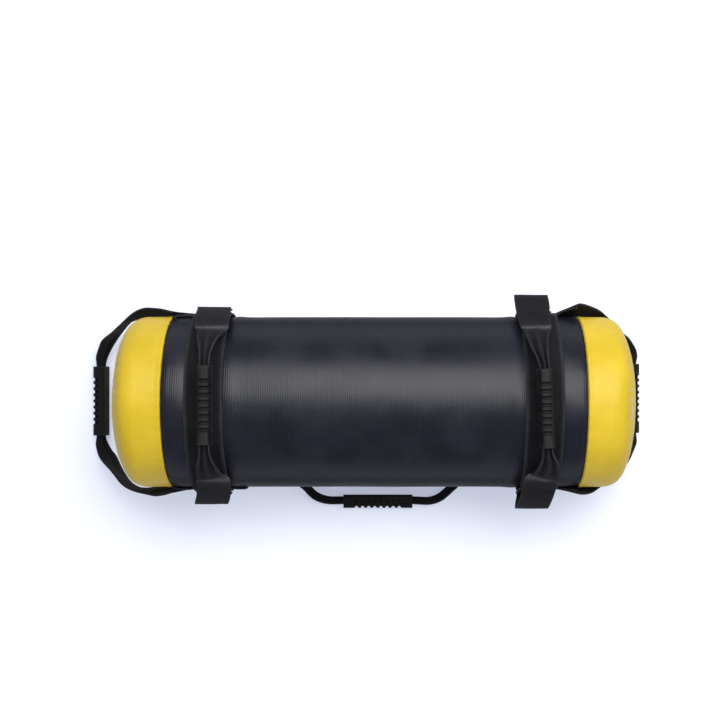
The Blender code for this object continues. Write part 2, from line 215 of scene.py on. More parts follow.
def makeRibGroup():
    # fine ribs that run round the bag; Along is metres along the bag or down the cap's slope
    group, given, result = startGroup(
        "fineRibs", {"Along": 0.0, "Place": (0.0, 0.0, 0.0), "Pitch": 0.0025, "Waver": 0.12}, ["Height"])
    turns = compute(group, "DIVIDE", given["Along"], given["Pitch"])
    drift = compute(group, "SUBTRACT", noiseOf(group, given["Place"], effects["ribDrift"], 2), 0.5)
    turns = compute(group, "ADD", turns, times(group, drift, given["Waver"]))
    wave = compute(group, "SINE", times(group, turns, math.tau))
    rounded = compute(group, "MULTIPLY_ADD", wave, 0.5, 0.5)
    stretch = group.nodes.new("ShaderNodeMapping")
    stretch.inputs["Scale"].default_value = effects["ribFaintness"]
    group.links.new(given["Place"], stretch.inputs["Vector"])
    strength = noiseOf(group, stretch.outputs["Vector"], 1, 2)
    strength = spread(group, strength, effects["ribStrength"])
    group.links.new(times(group, rounded, strength), result["Height"])
    return group


def makeGrainGroup():
    # close, irregular grain of a coated or moulded surface
    group, given, result = startGroup(
        "fineGrain", {"Place": (0.0, 0.0, 0.0), "Scale": 900.0}, ["Height", "Patches"])
    fine = noiseOf(group, given["Place"], given["Scale"], 4, 0.6)
    broad = noiseOf(group, given["Place"], times(group, given["Scale"], effects["broadGrain"]))
    group.links.new(fine, result["Height"])
    group.links.new(spread(group, broad, effects["patches"], True), result["Patches"])
    return group


def makeWeaveGroup():
    # a two-up, two-down weave on a UV map in metres: U across the strap, V along it
    group, given, result = startGroup(
        "webbingWeave", {"UV": (0.0, 0.0, 0.0), "Across": 0.0016, "Along": 0.0022}, ["Height", "Tone"])
    split = group.nodes.new("ShaderNodeSeparateXYZ")
    group.links.new(given["UV"], split.inputs[0])
    columns = compute(group, "DIVIDE", split.outputs["X"], given["Across"])
    rows = compute(group, "DIVIDE", split.outputs["Y"], given["Along"])
    shifted = compute(group, "ADD", rows, times(group, compute(group, "FLOOR", columns), 0.5))
    ridge = compute(group, "ABSOLUTE", compute(group, "SINE", times(group, shifted, math.pi)))
    ridge = compute(group, "POWER", ridge, effects["yarnRound"])
    side = times(group, compute(group, "PINGPONG", columns, 0.5), 2)
    height = times(group, ridge, compute(group, "POWER", side, effects["columnRound"]))
    fuzz = times(group, noiseOf(group, given["UV"], effects["fuzzScale"], 2), effects["fuzzShare"])
    height = compute(group, "ADD", times(group, height, 1 - effects["fuzzShare"]), fuzz)
    group.links.new(height, result["Height"])
    group.links.new(spread(group, height, effects["yarnTone"]), result["Tone"])
    return group


def makeWearGroup():
    # rubbed places and dust: the Mark attribute of a piece says where, noise breaks it up
    group, given, result = startGroup(
        "rubbedEdges", {"Place": (0.0, 0.0, 0.0), "Mark": 0.0, "Scale": 180.0}, ["Rubbed", "Dust"])
    streaks = noiseOf(group, given["Place"], given["Scale"], 4, 0.65)
    streaks = spread(group, streaks, effects["rubStreaks"], True)
    dust = noiseOf(group, given["Place"], effects["dustScale"], 5, 0.6)
    group.links.new(times(group, given["Mark"], streaks, True), result["Rubbed"])
    group.links.new(spread(group, dust, effects["dustPatches"], True), result["Dust"])
    return group


groups = {
    "ribs": makeRibGroup(),
    "grain": makeGrainGroup(),
    "weave": makeWeaveGroup(),
    "wear": makeWearGroup(),
}


def useGroup(material, name, values):
    node = material.node_tree.nodes.new("ShaderNodeGroup")
    node.node_tree = groups[name]
    for socket, value in values.items():
        plug(material.node_tree, node.inputs[socket], value)
    return node.outputs


def blendColours(tree, factor, first, second):
    node = tree.nodes.new("ShaderNodeMix")
    node.data_type = "RGBA"
    for socket, value in ((node.inputs["Factor"], factor), (node.inputs[6], first), (node.inputs[7], second)):
        plug(tree, socket, value)
    return node.outputs[2]


def addBump(material, layers):
    # layers: (height, strength, distance), each bump resting on the one before
    tree = material.node_tree
    below = None
    for height, strength, distance in layers:
        bump = tree.nodes.new("ShaderNodeBump")
        bump.inputs["Strength"].default_value = strength
        bump.inputs["Distance"].default_value = distance
        tree.links.new(height, bump.inputs["Height"])
        if below is not None:
            tree.links.new(below, bump.inputs["Normal"])
        below = bump.outputs["Normal"]
    tree.links.new(below, tree.nodes["Principled BSDF"].inputs["Normal"])


def coordinates(material, kind):
    return material.node_tree.nodes.new("ShaderNodeTexCoord").outputs[kind]


def startMaterial(name, colour, roughness):
    material = bpy.data.materials.new(name)
    material.use_nodes = True
    material.diffuse_color = (*colour, 1)
    shader = material.node_tree.nodes["Principled BSDF"].inputs
    shader["Base Color"].default_value = (*colour, 1)
    shader["Roughness"].default_value = roughness
    return material, shader


def startSurface(name, colour, roughness, grainScale):
    # a new material with its node tree, its place on the piece and its grain
    material, shader = startMaterial(name, colour, roughness)
    place = coordinates(material, "Object")
    grain = useGroup(material, "grain", {"Place": place, "Scale": grainScale})
    return material, material.node_tree, shader, place, grain


def wearColour(material, place, colour, look):
    # rubbed places and dust over a colour; returns it with the piece's mark
    tree = material.node_tree
    node = tree.nodes.new("ShaderNodeAttribute")
    node.attribute_name = "mark"
    mark = node.outputs["Fac"]
    wear = useGroup(material, "wear", {"Place": place, "Mark": mark, "Scale": look["wearScale"]})
    colour = blendColours(tree, times(tree, wear["Rubbed"], look["rubShare"]), colour, look["rubbed"])
    colour = blendColours(tree, times(tree, wear["Dust"], look["dustShare"]), colour, look["dusty"])
    return colour, mark


clothLooks = {
    "bodyCloth": {"low": (0.0065, 0.0072, 0.0118), "high": (0.0130, 0.0138, 0.0210), "roughness": (0.36, 0.43),
                  "ribPitch": 0.00252, "ribStrength": 0.55, "ribDistance": 0.00022,
                  "specular": 0.46, "edgeSpecular": 0.02},
    "capCloth": {"low": (0.60, 0.415, 0.018), "high": (0.71, 0.500, 0.030), "roughness": (0.42, 0.52),
                 "ribPitch": 0.0029, "ribStrength": 0.20, "ribDistance": 0.00014,
                 "specular": 0.36, "edgeSpecular": 0.20},
    "grainScale": 1100,
    "grainBump": (0.12, 0.00006),  # strength and distance
    "ribShade": 0.45,
    "patchShade": 0.5,
    "facing": (0.10, 0.64),  # between these the gloss fades towards the edge
    "rubbed": (1.25, 0.02),  # the cloth's high colour times the first plus the second
    "dusty": (0.95, 0.01),
    "wear": {"wearScale": 120, "rubShare": 0.7, "dustShare": 0.15},
}


def makeCloth(name):
    look, scale = clothLooks[name], clothLooks["grainScale"]
    material, tree, shader, place, grain = startSurface(name, look["high"], look["roughness"][0], scale)
    split = tree.nodes.new("ShaderNodeSeparateXYZ")
    tree.links.new(coordinates(material, "UV"), split.inputs[0])
    ribs = useGroup(material, "ribs", {"Along": split.outputs["Y"], "Place": place, "Pitch": look["ribPitch"]})
    patches = times(tree, grain["Patches"], clothLooks["patchShade"])
    shade = compute(tree, "MULTIPLY_ADD", ribs["Height"], clothLooks["ribShade"], patches)
    wear = dict(clothLooks["wear"])
    for key in ("rubbed", "dusty"):
        factor, paler = clothLooks[key]
        wear[key] = tuple(channel * factor + paler for channel in look["high"])
    colour, _ = wearColour(material, place, blendColours(tree, shade, look["low"], look["high"]), wear)
    tree.links.new(colour, shader["Base Color"])
    tree.links.new(spread(tree, grain["Patches"], (0, 1, *look["roughness"])), shader["Roughness"])
    facing = tree.nodes.new("ShaderNodeLayerWeight")
    facing.inputs["Blend"].default_value = 0.5
    gloss = (*clothLooks["facing"], look["specular"], look["edgeSpecular"])
    tree.links.new(spread(tree, facing.outputs["Facing"], gloss, True), shader["Specular IOR Level"])
    addBump(material, [(ribs["Height"], look["ribStrength"], look["ribDistance"]),
                       (grain["Height"], *clothLooks["grainBump"])])
    return material


webbingLook = {
    "deep": (0.0045, 0.0045, 0.0052),
    "face": (0.0098, 0.0100, 0.0114),
    "lighter": 1.5,  # some patches are this much lighter than the face
    "patchShare": 0.35,
    "roughness": (0.92, 0.76),
    "specular": 0.2,
    "sheen": 0.02,
    "sheenRoughness": 0.4,
    "weave": (0.0016, 0.0021),  # width of a column of yarn and length of a turn
    "weaveBump": (0.75, 0.00035),
    "grainScale": 1500,
    "grainBump": (0.2, 0.00008),
    "wearScale": 300,
    "rubShare": 0.8,
    "rubbed": (0.105, 0.105, 0.110),
    "dustShare": 0.05,
    "dusty": (0.09, 0.088, 0.084),
}


def makeWebbing():
    look = webbingLook
    material, tree, shader, place, grain = startSurface(
        "blackWebbing", look["face"], look["roughness"][0], look["grainScale"])
    across, along = look["weave"]
    weave = useGroup(material, "weave", {"UV": coordinates(material, "UV"), "Across": across, "Along": along})
    colour = blendColours(tree, weave["Tone"], look["deep"], look["face"])
    lighter = tuple(channel * look["lighter"] for channel in look["face"])
    colour = blendColours(tree, times(tree, grain["Patches"], look["patchShare"]), colour, lighter)
    tree.links.new(wearColour(material, place, colour, look)[0], shader["Base Color"])
    tree.links.new(spread(tree, weave["Tone"], (0, 1, *look["roughness"])), shader["Roughness"])
    shader["Specular IOR Level"].default_value = look["specular"]
    shader["Sheen Weight"].default_value = look["sheen"]
    shader["Sheen Roughness"].default_value = look["sheenRoughness"]
    addBump(material, [(weave["Height"], *look["weaveBump"]), (grain["Height"], *look["grainBump"])])
    return material


rubberLook = {
    "low": (0.0045, 0.0046, 0.0045),
    "high": (0.0083, 0.0085, 0.0084),
    "roughness": (0.48, 0.60),
    "specular": 0.20,
    "grainScale": 1700,
    "grainBump": (0.35, 0.00010),
    "wearScale": 260,
    "rubShare": 0.45,
    "rubbed": (0.036, 0.036, 0.037),
    "dustShare": 0.05,
    "dusty": (0.08, 0.078, 0.074),
    # near black painted shade for the recesses of the grip's windows
    "paintedShade": (0.001, 0.001, 0.001),
}


def makeRubber():
    look = rubberLook
    material, tree, shader, place, grain = startSurface(
        "gripRubber", look["high"], look["roughness"][0], look["grainScale"])
    colour = blendColours(tree, grain["Patches"], look["low"], look["high"])
    colour, mark = wearColour(material, place, colour, look)
    # a negative mark is a recess, which is painted near black as shade
    colour = blendColours(tree, times(tree, mark, -1, True), colour, look["paintedShade"])
    tree.links.new(colour, shader["Base Color"])
    tree.links.new(spread(tree, grain["Patches"], (0, 1, *look["roughness"])), shader["Roughness"])
    shader["Specular IOR Level"].default_value = look["specular"]
    addBump(material, [(grain["Height"], *look["grainBump"])])
    return material


threadLook = {
    "colours": {"blackThread": (0.030, 0.030, 0.033), "yellowThread": (0.78, 0.56, 0.06)},
    "roughness": 0.7,
    "darker": 0.6,
    "grainScale": 2400,
    "grainBump": (0.5, 0.00012),
}


def makeThread(name):
    # thread: a fine grain in its colour and bump
    look, colour = threadLook, threadLook["colours"][name]
    material, tree, shader, _, grain = startSurface(name, colour, look["roughness"], look["grainScale"])
    dark = tuple(channel * look["darker"] for channel in colour)
    tree.links.new(blendColours(tree, grain["Height"], dark, colour), shader["Base Color"])
    addBump(material, [(grain["Height"], *look["grainBump"])])
    return material


# what lies inside the bag: low and high colour, roughness, grain scale, bump strength and distance, CAD nodes
fillerLooks = {
    "seamTapeCloth": ((0.018, 0.018, 0.018), (0.035, 0.035, 0.036), 0.85, 1400, (0.4, 0.0001),
                      ("seam_tape_left", "seam_tape_right")),
    "paddingFoam": ((0.42, 0.42, 0.39), (0.60, 0.60, 0.56), 0.92, 700, (0.6, 0.0004),
                    ("foam_sleeve", "foam_end_left", "foam_end_right")),
    "pouchFilm": ((0.58, 0.58, 0.55), (0.70, 0.70, 0.67), 0.42, 120, (0.25, 0.0006),
                  ("filler_pouch", "filler_pouch_end")),
    "drySand": ((0.36, 0.26, 0.16), (0.66, 0.53, 0.36), 0.95, 1300, (0.9, 0.0006), ("sand_fill",)),
}


def dress(thing, material):
    thing.data.materials.clear()
    thing.data.materials.append(material)


def makeFiller(name):
    low, high, roughness, scale, grainBump, nodeNames = fillerLooks[name]
    material, tree, shader, _, grain = startSurface(name, high, roughness, scale)
    tone = compute(tree, "MULTIPLY_ADD", grain["Height"], 0.6, times(tree, grain["Patches"], 0.4))
    tree.links.new(blendColours(tree, tone, low, high), shader["Base Color"])
    tree.links.new(spread(tree, grain["Patches"], (0, 1, roughness - 0.06, roughness)), shader["Roughness"])
    addBump(material, [(grain["Height"], *grainBump)])
    for nodeName in nodeNames:
        dress(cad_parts[nodeName], material)


materials = {
    "body": makeCloth("bodyCloth"),
    "cap": makeCloth("capCloth"),
    "webbing": makeWebbing(),
    "rubber": makeRubber(),
    "blackThread": makeThread("blackThread"),
    "yellowThread": makeThread("yellowThread"),
}
for name in fillerLooks:
    makeFiller(name)
print("materials ready")

# the padded bag: one cloth tube and two rounded ends
bagShape = {
    "around": 176,
    "rowStep": 0.0042,
    "crowding": 0.05,  # how far the rows crowd together at the two seams, where the cloth turns in
    "bandHalfWidth": 0.022,
    "bandPress": 0.0005,
    "bandSwell": 0.0009,
    "swellAway": 0.009,  # from the band's edge to the top of the swelling
    "swellWidth": 0.007,
    "seamDip": 0.0020,
    "seamDipWidth": 0.0024,
    "seamGap": 0.0001,
    "puckers": (0.0006, 95, 0.3, 0.014),  # depth, scale, stretch along the bag, reach from the seam
    "unevenness": (0.0005, 14),  # depth and scale
    "clothThickness": 0.0015,
    "bandFloor": 0.0026,
    "bandRamp": 0.004,
    "bandMargin": 0.0004,
}
capShape = {
    "shorter": {-1: 0.0, 1: 0.0022},  # the right end is packed a little tighter
    "cornerRadius": 0.029,
    "crownBulge": 0.008,
    "hemRise": 0.0007,
    "hemWidth": 0.0018,
    "hemAway": 0.0022,
    "hemRows": (0, 0.0007, 0.0015, 0.0024, 0.0036),
    "wallRows": 9,
    "cornerRows": 14,
    "crownRows": 16,
    "seamDipWidth": 0.0009,
    "grooveAngle": 24,
    "grooveDepth": 0.0011,
    "grooveWidth": 0.0019,
    "grooveFrom": 0.03,  # nearer to the axis there is no groove
    "puckers": 46,
    "puckerDrift": (3, 2.0),  # how much the puckers wander, and the scale of it
    "seamPucker": (0.00035, 0.003, 0.010),  # depth, full up to here, and how far it fades beyond
    "groovePucker": (0.00030, 0.007),  # depth and half width
    "unevenness": (0.0008, 16),
}
plumping = {
    "pressure": 4.0,
    "frames": 20,
    "quality": 6,
    "stiffness": 30,
    "bending": 2.0,
    "bodyCap": 0.0009,
    "capCap": 0.0024,
    "besideBand": 0.002,
    "besideSeam": (0.003, 0.004),  # held that near to a seam, on the tube and on the ends
    "overFloor": (0.004, 0.003),
    "onFloor": 0.003,
}
cornerX = capHigh.x - capShape["crownBulge"] - capShape["cornerRadius"]
cornerStart = bagRadius - capShape["cornerRadius"]


def bumpAt(value, middle, width):
    return math.exp(-((value - middle) / width) ** 2)


def wrinkle(place, scale, seed):
    return noise.noise(Vector(place) * scale + Vector((seed * 7.3, seed * 3.1, seed * 5.7)))


def rayAt(angle):
    # straight out from the bag's axis; the angle goes up from the far side (+Y)
    return Vector((0, math.cos(angle), math.sin(angle)))


def finish(piece, angle=60):
    pick(piece)
    bpy.ops.object.shade_smooth_by_angle(angle=math.radians(angle))


def applyModifier(piece, kind, **settings):
    pick(piece)
    modifier = piece.modifiers.new(kind.lower(), kind)
    for key, value in settings.items():
        setattr(modifier, key, value)
    bpy.ops.object.modifier_apply(modifier=modifier.name)


def outwards(piece, merge=True):
    # merges doubled points, then turns every face outwards
    pick(piece)
    bpy.ops.object.mode_set(mode="EDIT")
    bpy.ops.mesh.select_all(action="SELECT")
    if merge:
        bpy.ops.mesh.remove_doubles(threshold=0.00001)
    bpy.ops.mesh.normals_make_consistent(inside=False)
    bpy.ops.object.mode_set(mode="OBJECT")


def choose(piece, kind, test):
    # in edit mode, selects the faces or edges that pass the test
    bpy.ops.mesh.select_mode(type=kind)
    bpy.ops.mesh.select_all(action="DESELECT")
    shape = bmesh.from_edit_mesh(piece.data)
    for part in shape.edges if kind == "EDGE" else shape.faces:
        part.select = test(part)
    shape.select_flush_mode()
    bmesh.update_edit_mesh(piece.data)


def startTube(name, vertices, radius, length, axis, cuts, height=0.0, ends="NOTHING"):
    # a cylinder along an axis, cut into rows across it and left in edit mode
    deselect()
    turn = (0, math.pi / 2, 0) if axis == 0 else (math.pi / 2, 0, 0)
    bpy.ops.mesh.primitive_cylinder_add(vertices=vertices, radius=radius, depth=length, end_fill_type=ends,
                                        rotation=turn, location=(0, 0, height))
    piece = bpy.context.object
    piece.name = piece.data.name = name
    bpy.ops.object.transform_apply(location=True, rotation=True, scale=True)
    bpy.ops.object.mode_set(mode="EDIT")
    choose(piece, "EDGE", lambda edge: abs(edge.verts[0].co[axis] - edge.verts[1].co[axis]) > length / 2)
    bpy.ops.mesh.subdivide(number_cuts=cuts)
    return piece


def setMark(mesh, values):
    attribute = mesh.attributes.get("mark") or mesh.attributes.new("mark", "FLOAT", "POINT")
    attribute.data.foreach_set("value", values)


def uvLayer(mesh):
    return (mesh.uv_layers.active or mesh.uv_layers.new(name="UVMap")).data


def plump(piece, isHeld, most):
    # air pressure fills the cloth out between its seams, bands and the floor
    rest = [vert.co.copy() for vert in piece.data.vertices]
    held = piece.vertex_groups.new(name="held")
    held.add([vert.index for vert in piece.data.vertices if isHeld(vert.co)], 1.0, "REPLACE")
    cloth = piece.modifiers.new("cloth", "CLOTH")
    cloth.settings.quality = plumping["quality"]
    cloth.settings.use_pressure = True
    cloth.settings.uniform_pressure_force = plumping["pressure"]
    cloth.settings.effector_weights.gravity = 0
    cloth.settings.vertex_group_mass = "held"
    cloth.settings.tension_stiffness = cloth.settings.compression_stiffness = plumping["stiffness"]
    cloth.settings.bending_stiffness = plumping["bending"]
    cloth.point_cache.frame_start = 1
    cloth.point_cache.frame_end = plumping["frames"]
    for step in range(1, plumping["frames"] + 1):
        bpy.context.scene.frame_set(step)
    blown = piece.evaluated_get(bpy.context.evaluated_depsgraph_get())
    moved = [vert.co.copy() for vert in blown.to_mesh().vertices]
    blown.to_mesh_clear()
    piece.modifiers.remove(cloth)
    piece.vertex_groups.remove(held)
    bpy.context.scene.frame_set(1)
    longest = 0
    for vert, start, end in zip(piece.data.vertices, rest, moved):
        shift = end - start
        longest = max(longest, shift.length)
        if shift.length > 0:
            shift *= most * math.tanh(shift.length / most) / shift.length
        place = start + shift
        place.z = max(place.z, start.z if start.z < plumping["onFloor"] else 0.0)
        vert.co = place
    print(piece.name, "plumped, longest move", round(longest * 1000, 2), "mm before its cap")


def floorAt(x):
    # the girth bands lift the tube a little off the floor
    beyond = abs(abs(x) - bandX) - bagShape["bandHalfWidth"] - bagShape["bandMargin"]
    return bagShape["bandFloor"] * min(max(1 - beyond / bagShape["bandRamp"], 0), 1)


def bodyRadiusAt(x, angle):
    fromBand = abs(abs(x) - bandX)
    fromSeam = seamX - abs(x)
    y, z = math.cos(angle) * bagRadius, math.sin(angle) * bagRadius
    radius = bagRadius
    if fromBand < bagShape["bandHalfWidth"]:
        radius -= bagShape["bandPress"]
    swell = bumpAt(fromBand, bagShape["bandHalfWidth"] + bagShape["swellAway"], bagShape["swellWidth"])
    radius += bagShape["bandSwell"] * swell
    radius -= bagShape["seamDip"] * bumpAt(fromSeam, 0, bagShape["seamDipWidth"])
    depth, scale, stretch, reach = bagShape["puckers"]
    radius += depth * wrinkle((x * stretch, y, z), scale, 1) * math.exp(-fromSeam / reach)
    depth, scale = bagShape["unevenness"]
    return radius + depth * wrinkle((x, y, z), scale, 2)


def makeBody():
    rows = round(2 * seamX / bagShape["rowStep"])
    length = 2 * (seamX - bagShape["seamGap"])
    piece = startTube("bagBody", bagShape["around"], bagRadius, length, 0, rows - 1, axisHeight)
    bpy.ops.object.mode_set(mode="OBJECT")
    outwards(piece)
    for vert in piece.data.vertices:
        share = vert.co.x / seamX
        vert.co.x = seamX * (share + bagShape["crowding"] * math.sin(math.pi * share) * abs(share) ** 3)
        angle = math.atan2(vert.co.z - axisHeight, vert.co.y)
        radius = bodyRadiusAt(vert.co.x, angle)
        vert.co.y = radius * math.cos(angle)
        vert.co.z = max(axisHeight + radius * math.sin(angle), floorAt(vert.co.x))

    def isHeld(place):
        nearBand = abs(abs(place.x) - bandX) < bagShape["bandHalfWidth"] + plumping["besideBand"]
        nearSeam = seamX - abs(place.x) < plumping["besideSeam"][0]
        return nearBand or nearSeam or place.z < plumping["overFloor"][0]

    plump(piece, isHeld, plumping["bodyCap"])
    wrapUv(piece, lambda place: place.x)
    return piece


def wrapUv(piece, alongAt):
    # U round the bag, V where alongAt says, both in metres; the join lies on the floor side
    mesh = piece.data
    layer = uvLayer(mesh)
    for face in mesh.polygons:
        places = [mesh.vertices[index].co for index in face.vertices]
        angles = [math.atan2(place.y, -(place.z - axisHeight)) % math.tau for place in places]
        wide = max(angles) - min(angles) > math.pi
        for loop, place, angle in zip(face.loop_indices, places, angles):
            if wide and angle < math.pi:
                angle += math.tau
            layer[loop].uv = (angle * bagRadius, alongAt(place))


def runLengths(points, size=3):
    lengths = [0.0]
    for here, there in zip(points, points[1:]):
        lengths.append(lengths[-1] + math.dist(here[:size], there[:size]))
    return lengths


def capPoints():
    # (x, radius, outward x, outward radius) down the wall, round the corner and over the crown
    corner = capShape["cornerRadius"]
    slope = 2 * math.atan(capShape["crownBulge"] / cornerStart)
    sphere = cornerStart / math.sin(slope) + corner
    start = seamX + bagShape["seamGap"]
    hem, rows = capShape["hemRows"], capShape["wallRows"]
    wall = [*hem, *(hem[-1] + (cornerX - start - hem[-1]) * (n + 1) / rows for n in range(rows))]
    points = [(start + reach, bagRadius, 0.0, 1.0) for reach in wall]
    for step in range(1, capShape["cornerRows"] + 1):
        angle = math.pi / 2 - (math.pi / 2 - slope) * step / capShape["cornerRows"]
        out = (math.cos(angle), math.sin(angle))
        points.append((cornerX + corner * out[0], cornerStart + corner * out[1], *out))
    for step in range(1, capShape["crownRows"] + 1):
        angle = slope * (1 - step / capShape["crownRows"])
        out = (math.cos(angle), math.sin(angle))
        points.append((capHigh.x - sphere + sphere * out[0], max(sphere * out[1], 0.0), *out))
    return points


def makeCap(name, side):
    points = capPoints()
    deselect()
    # the outline stands as a row of points on the far side and is spun round the bag's axis
    bpy.ops.mesh.primitive_plane_add(size=1)
    piece = bpy.context.object
    piece.name = piece.data.name = name
    bpy.ops.object.mode_set(mode="EDIT")
    bpy.ops.mesh.delete(type="VERT")
    shape = bmesh.from_edit_mesh(piece.data)
    row = [shape.verts.new((side * x, radius, axisHeight)) for x, radius, _, _ in points]
    for first, second in zip(row, row[1:]):
        shape.edges.new((first, second))
    for vert in shape.verts:
        vert.select = True
    shape.select_flush(True)
    bmesh.update_edit_mesh(piece.data)
    bpy.ops.mesh.spin(steps=bagShape["around"], angle=math.tau, center=(0, 0, axisHeight), axis=(1, 0, 0))
    bpy.ops.object.mode_set(mode="OBJECT")
    outwards(piece)

    def nearestPoint(x, radius):
        return min(range(len(points)), key=lambda n: (points[n][0] - x) ** 2 + (points[n][1] - radius) ** 2)

    grooveX = cornerX + capShape["cornerRadius"] * math.cos(math.radians(capShape["grooveAngle"]))
    drift, driftScale = capShape["puckerDrift"]
    seamDepth, seamFull, seamReach = capShape["seamPucker"]
    grooveDepth, grooveWidth = capShape["groovePucker"]
    depth, scale = capShape["unevenness"]
    for vert in piece.data.vertices:
        reach = Vector((0, vert.co.y, vert.co.z - axisHeight))
        radius = reach.length
        x = abs(vert.co.x)
        outX, outRadius = points[nearestPoint(x, radius)][2:]
        angle = math.atan2(reach.z, reach.y)
        fromSeam = x - seamX
        gathers = math.sin(capShape["puckers"] * angle + drift * wrinkle(rayAt(angle), driftScale, 4))
        push = -bagShape["seamDip"] * bumpAt(fromSeam, 0, capShape["seamDipWidth"])
        push += capShape["hemRise"] * bumpAt(fromSeam, capShape["hemAway"], capShape["hemWidth"])
        push += seamDepth * gathers * math.exp(-max(fromSeam - seamFull, 0) / seamReach)
        if radius > capShape["grooveFrom"]:
            push -= capShape["grooveDepth"] * bumpAt(x, grooveX, capShape["grooveWidth"])
            push += grooveDepth * gathers * bumpAt(x, grooveX, grooveWidth)
        push += depth * wrinkle(vert.co, scale, 5 + side)
        unit = reach.normalized() if radius > 1e-6 else Vector((0, 0, 0))
        vert.co += unit * push * outRadius + Vector((side * push * outX, 0, 0))
        vert.co.z = max(vert.co.z, 0.0)
        vert.co.x -= side * capShape["shorter"][side] * (abs(vert.co.x) - seamX) / (capHigh.x - seamX)

    def isHeld(place):
        return abs(place.x) - seamX < plumping["besideSeam"][1] or place.z < plumping["overFloor"][1]

    plump(piece, isHeld, plumping["capCap"])
    lengths = runLengths(points, 2)

    def alongAt(place):
        return seamX + lengths[nearestPoint(abs(place.x), math.hypot(place.y, place.z - axisHeight))]

    wrapUv(piece, alongAt)
    return piece


def treeOf(piece):
    return BVHTree.FromPolygons([vert.co.copy() for vert in piece.data.vertices],
                                [tuple(face.vertices) for face in piece.data.polygons])


bagBody = makeBody()
bagTree = treeOf(bagBody)
caps = {"left": makeCap("capLeft", -1), "right": makeCap("capRight", 1)}
for piece, key, node, fill in ((bagBody, "body", "body_shell", 0.95),
                               (caps["left"], "cap", "end_cap_left", 0.9),
                               (caps["right"], "cap", "end_cap_right", 0.9)):
    applyModifier(piece, "SOLIDIFY", thickness=bagShape["clothThickness"], offset=-1, use_even_offset=True)
    dress(piece, materials[key])
    finish(piece)
    setMark(piece.data, [0.0] * len(piece.data.vertices))
    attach(piece, "bag")
    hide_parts(node)
print("bag ready:", len(bagBody.data.polygons), "faces on the tube")

# webbing: a flat grid laid where placeAt(s, t) says, given its thickness and soft edges
webbing = {
    "thickness": 0.0022,
    "halfWidth": 0.020,
    "edgeRound": 0.00045,
    "clearance": 0.0004,
    "cellAlong": 0.0024,
    "sharpAngle": 55,  # edges sharper than this are rounded
}
strapWidth = 2 * webbing["halfWidth"]
layer = webbing["clearance"] + webbing["thickness"] / 2
bandStep = webbing["thickness"] + webbing["clearance"]


def laySheet(name, placeAt, width, length, across, along, markAt, ring=False):
    deselect()
    bpy.ops.mesh.primitive_grid_add(x_subdivisions=across, y_subdivisions=along, size=1)
    piece = bpy.context.object
    piece.name = piece.data.name = name
    mesh = piece.data
    shares = [(vert.co.x + 0.5, vert.co.y + 0.5) for vert in mesh.vertices]
    uvs = uvLayer(mesh)
    for loop in mesh.loops:
        s, t = shares[loop.vertex_index]
        uvs[loop.index].uv = ((s - 0.5) * width, t * length)
    setMark(mesh, [markAt(s, t) for s, t in shares])
    for vert, (s, t) in zip(mesh.vertices, shares):
        vert.co = placeAt(s, t)
    if ring:
        outwards(piece)
    applyModifier(piece, "SOLIDIFY", thickness=webbing["thickness"], offset=0)
    applyModifier(piece, "BEVEL", width=webbing["edgeRound"], segments=2, limit_method="ANGLE",
                  angle_limit=math.radians(webbing["sharpAngle"]))
    outwards(piece, merge=False)
    dress(piece, materials["webbing"])
    finish(piece)
    return piece


def settle(piece, body, node, slot="webbing"):
    # a piece that bends across a joint has no body of its own
    if body:
        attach(piece, body)
    if node:
        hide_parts(node)


def onBag(x, angle, lift):
    # lift is counted from the cloth
    out = rayAt(angle)
    start = Vector((x, 0, axisHeight))
    hit = bagTree.ray_cast(start, out)[0]
    place = (hit or start + out * bagRadius) + out * lift
    place.z = max(place.z, webbing["thickness"] / 2)
    return place


# stitches
thread = {
    "length": 0.0026,
    "gap": 0.0010,
    "radius": 0.00032,
    "flat": 0.7,
    "endDip": 0.4,  # how far the ends of a stitch sink in, in radii
    "sides": 6,
    "rings": 4,
    "traceStep": 0.003,
}


def makeStitchShape():
    deselect()
    bpy.ops.mesh.primitive_uv_sphere_add(segments=thread["sides"], ring_count=thread["rings"], radius=1)
    bpy.ops.object.shade_smooth()
    stitch = bpy.context.object
    places = [vert.co.copy() for vert in stitch.data.vertices]
    faces = [tuple(face.vertices) for face in stitch.data.polygons]
    bpy.data.objects.remove(stitch)
    return places, faces


stitchPlaces, stitchFaces = makeStitchShape()


def stepsTo(lengths, targets):
    # the step of a run that each distance falls in, and its share of that step
    index = 0
    for target in targets:
        while index < len(lengths) - 2 and lengths[index + 1] < target:
            index += 1
        yield index, (target - lengths[index]) / max(lengths[index + 1] - lengths[index], 1e-9)


def sew(name, lines, key="blackThread", slot="webbing"):
    # lines: rows of (place, outward) points along which separate stitches are laid
    places, faces = [], []
    for line in lines:
        lengths = [0.0]
        for here, there in zip(line, line[1:]):
            lengths.append(lengths[-1] + (there[0] - here[0]).length)
        count = max(1, round(lengths[-1] / (thread["length"] + thread["gap"])))
        middles = [(number + 0.5) * lengths[-1] / count for number in range(count)]
        for index, share in stepsTo(lengths, middles):
            first, second = line[index], line[index + 1]
            centre = first[0].lerp(second[0], share)
            out = first[1].lerp(second[1], share).normalized()
            ahead = (second[0] - first[0]).normalized()
            sideways = out.cross(ahead).normalized() * thread["radius"]
            base = len(places)
            for point in stitchPlaces:
                lift = thread["radius"] * (point.y * thread["flat"] - thread["endDip"] * abs(point.z) ** 3)
                run = point.z * thread["length"] / 2
                places.append(centre + ahead * run + out * lift + sideways * point.x)
            faces += [tuple(base + corner for corner in face) for face in stitchFaces]
    mesh = bpy.data.meshes.new(name)
    mesh.from_pydata(places, [], faces)
    piece = addObject(name, mesh)
    outwards(piece)
    dress(piece, materials[key])
    finish(piece, 80)
    settle(piece, "bag", None, slot)


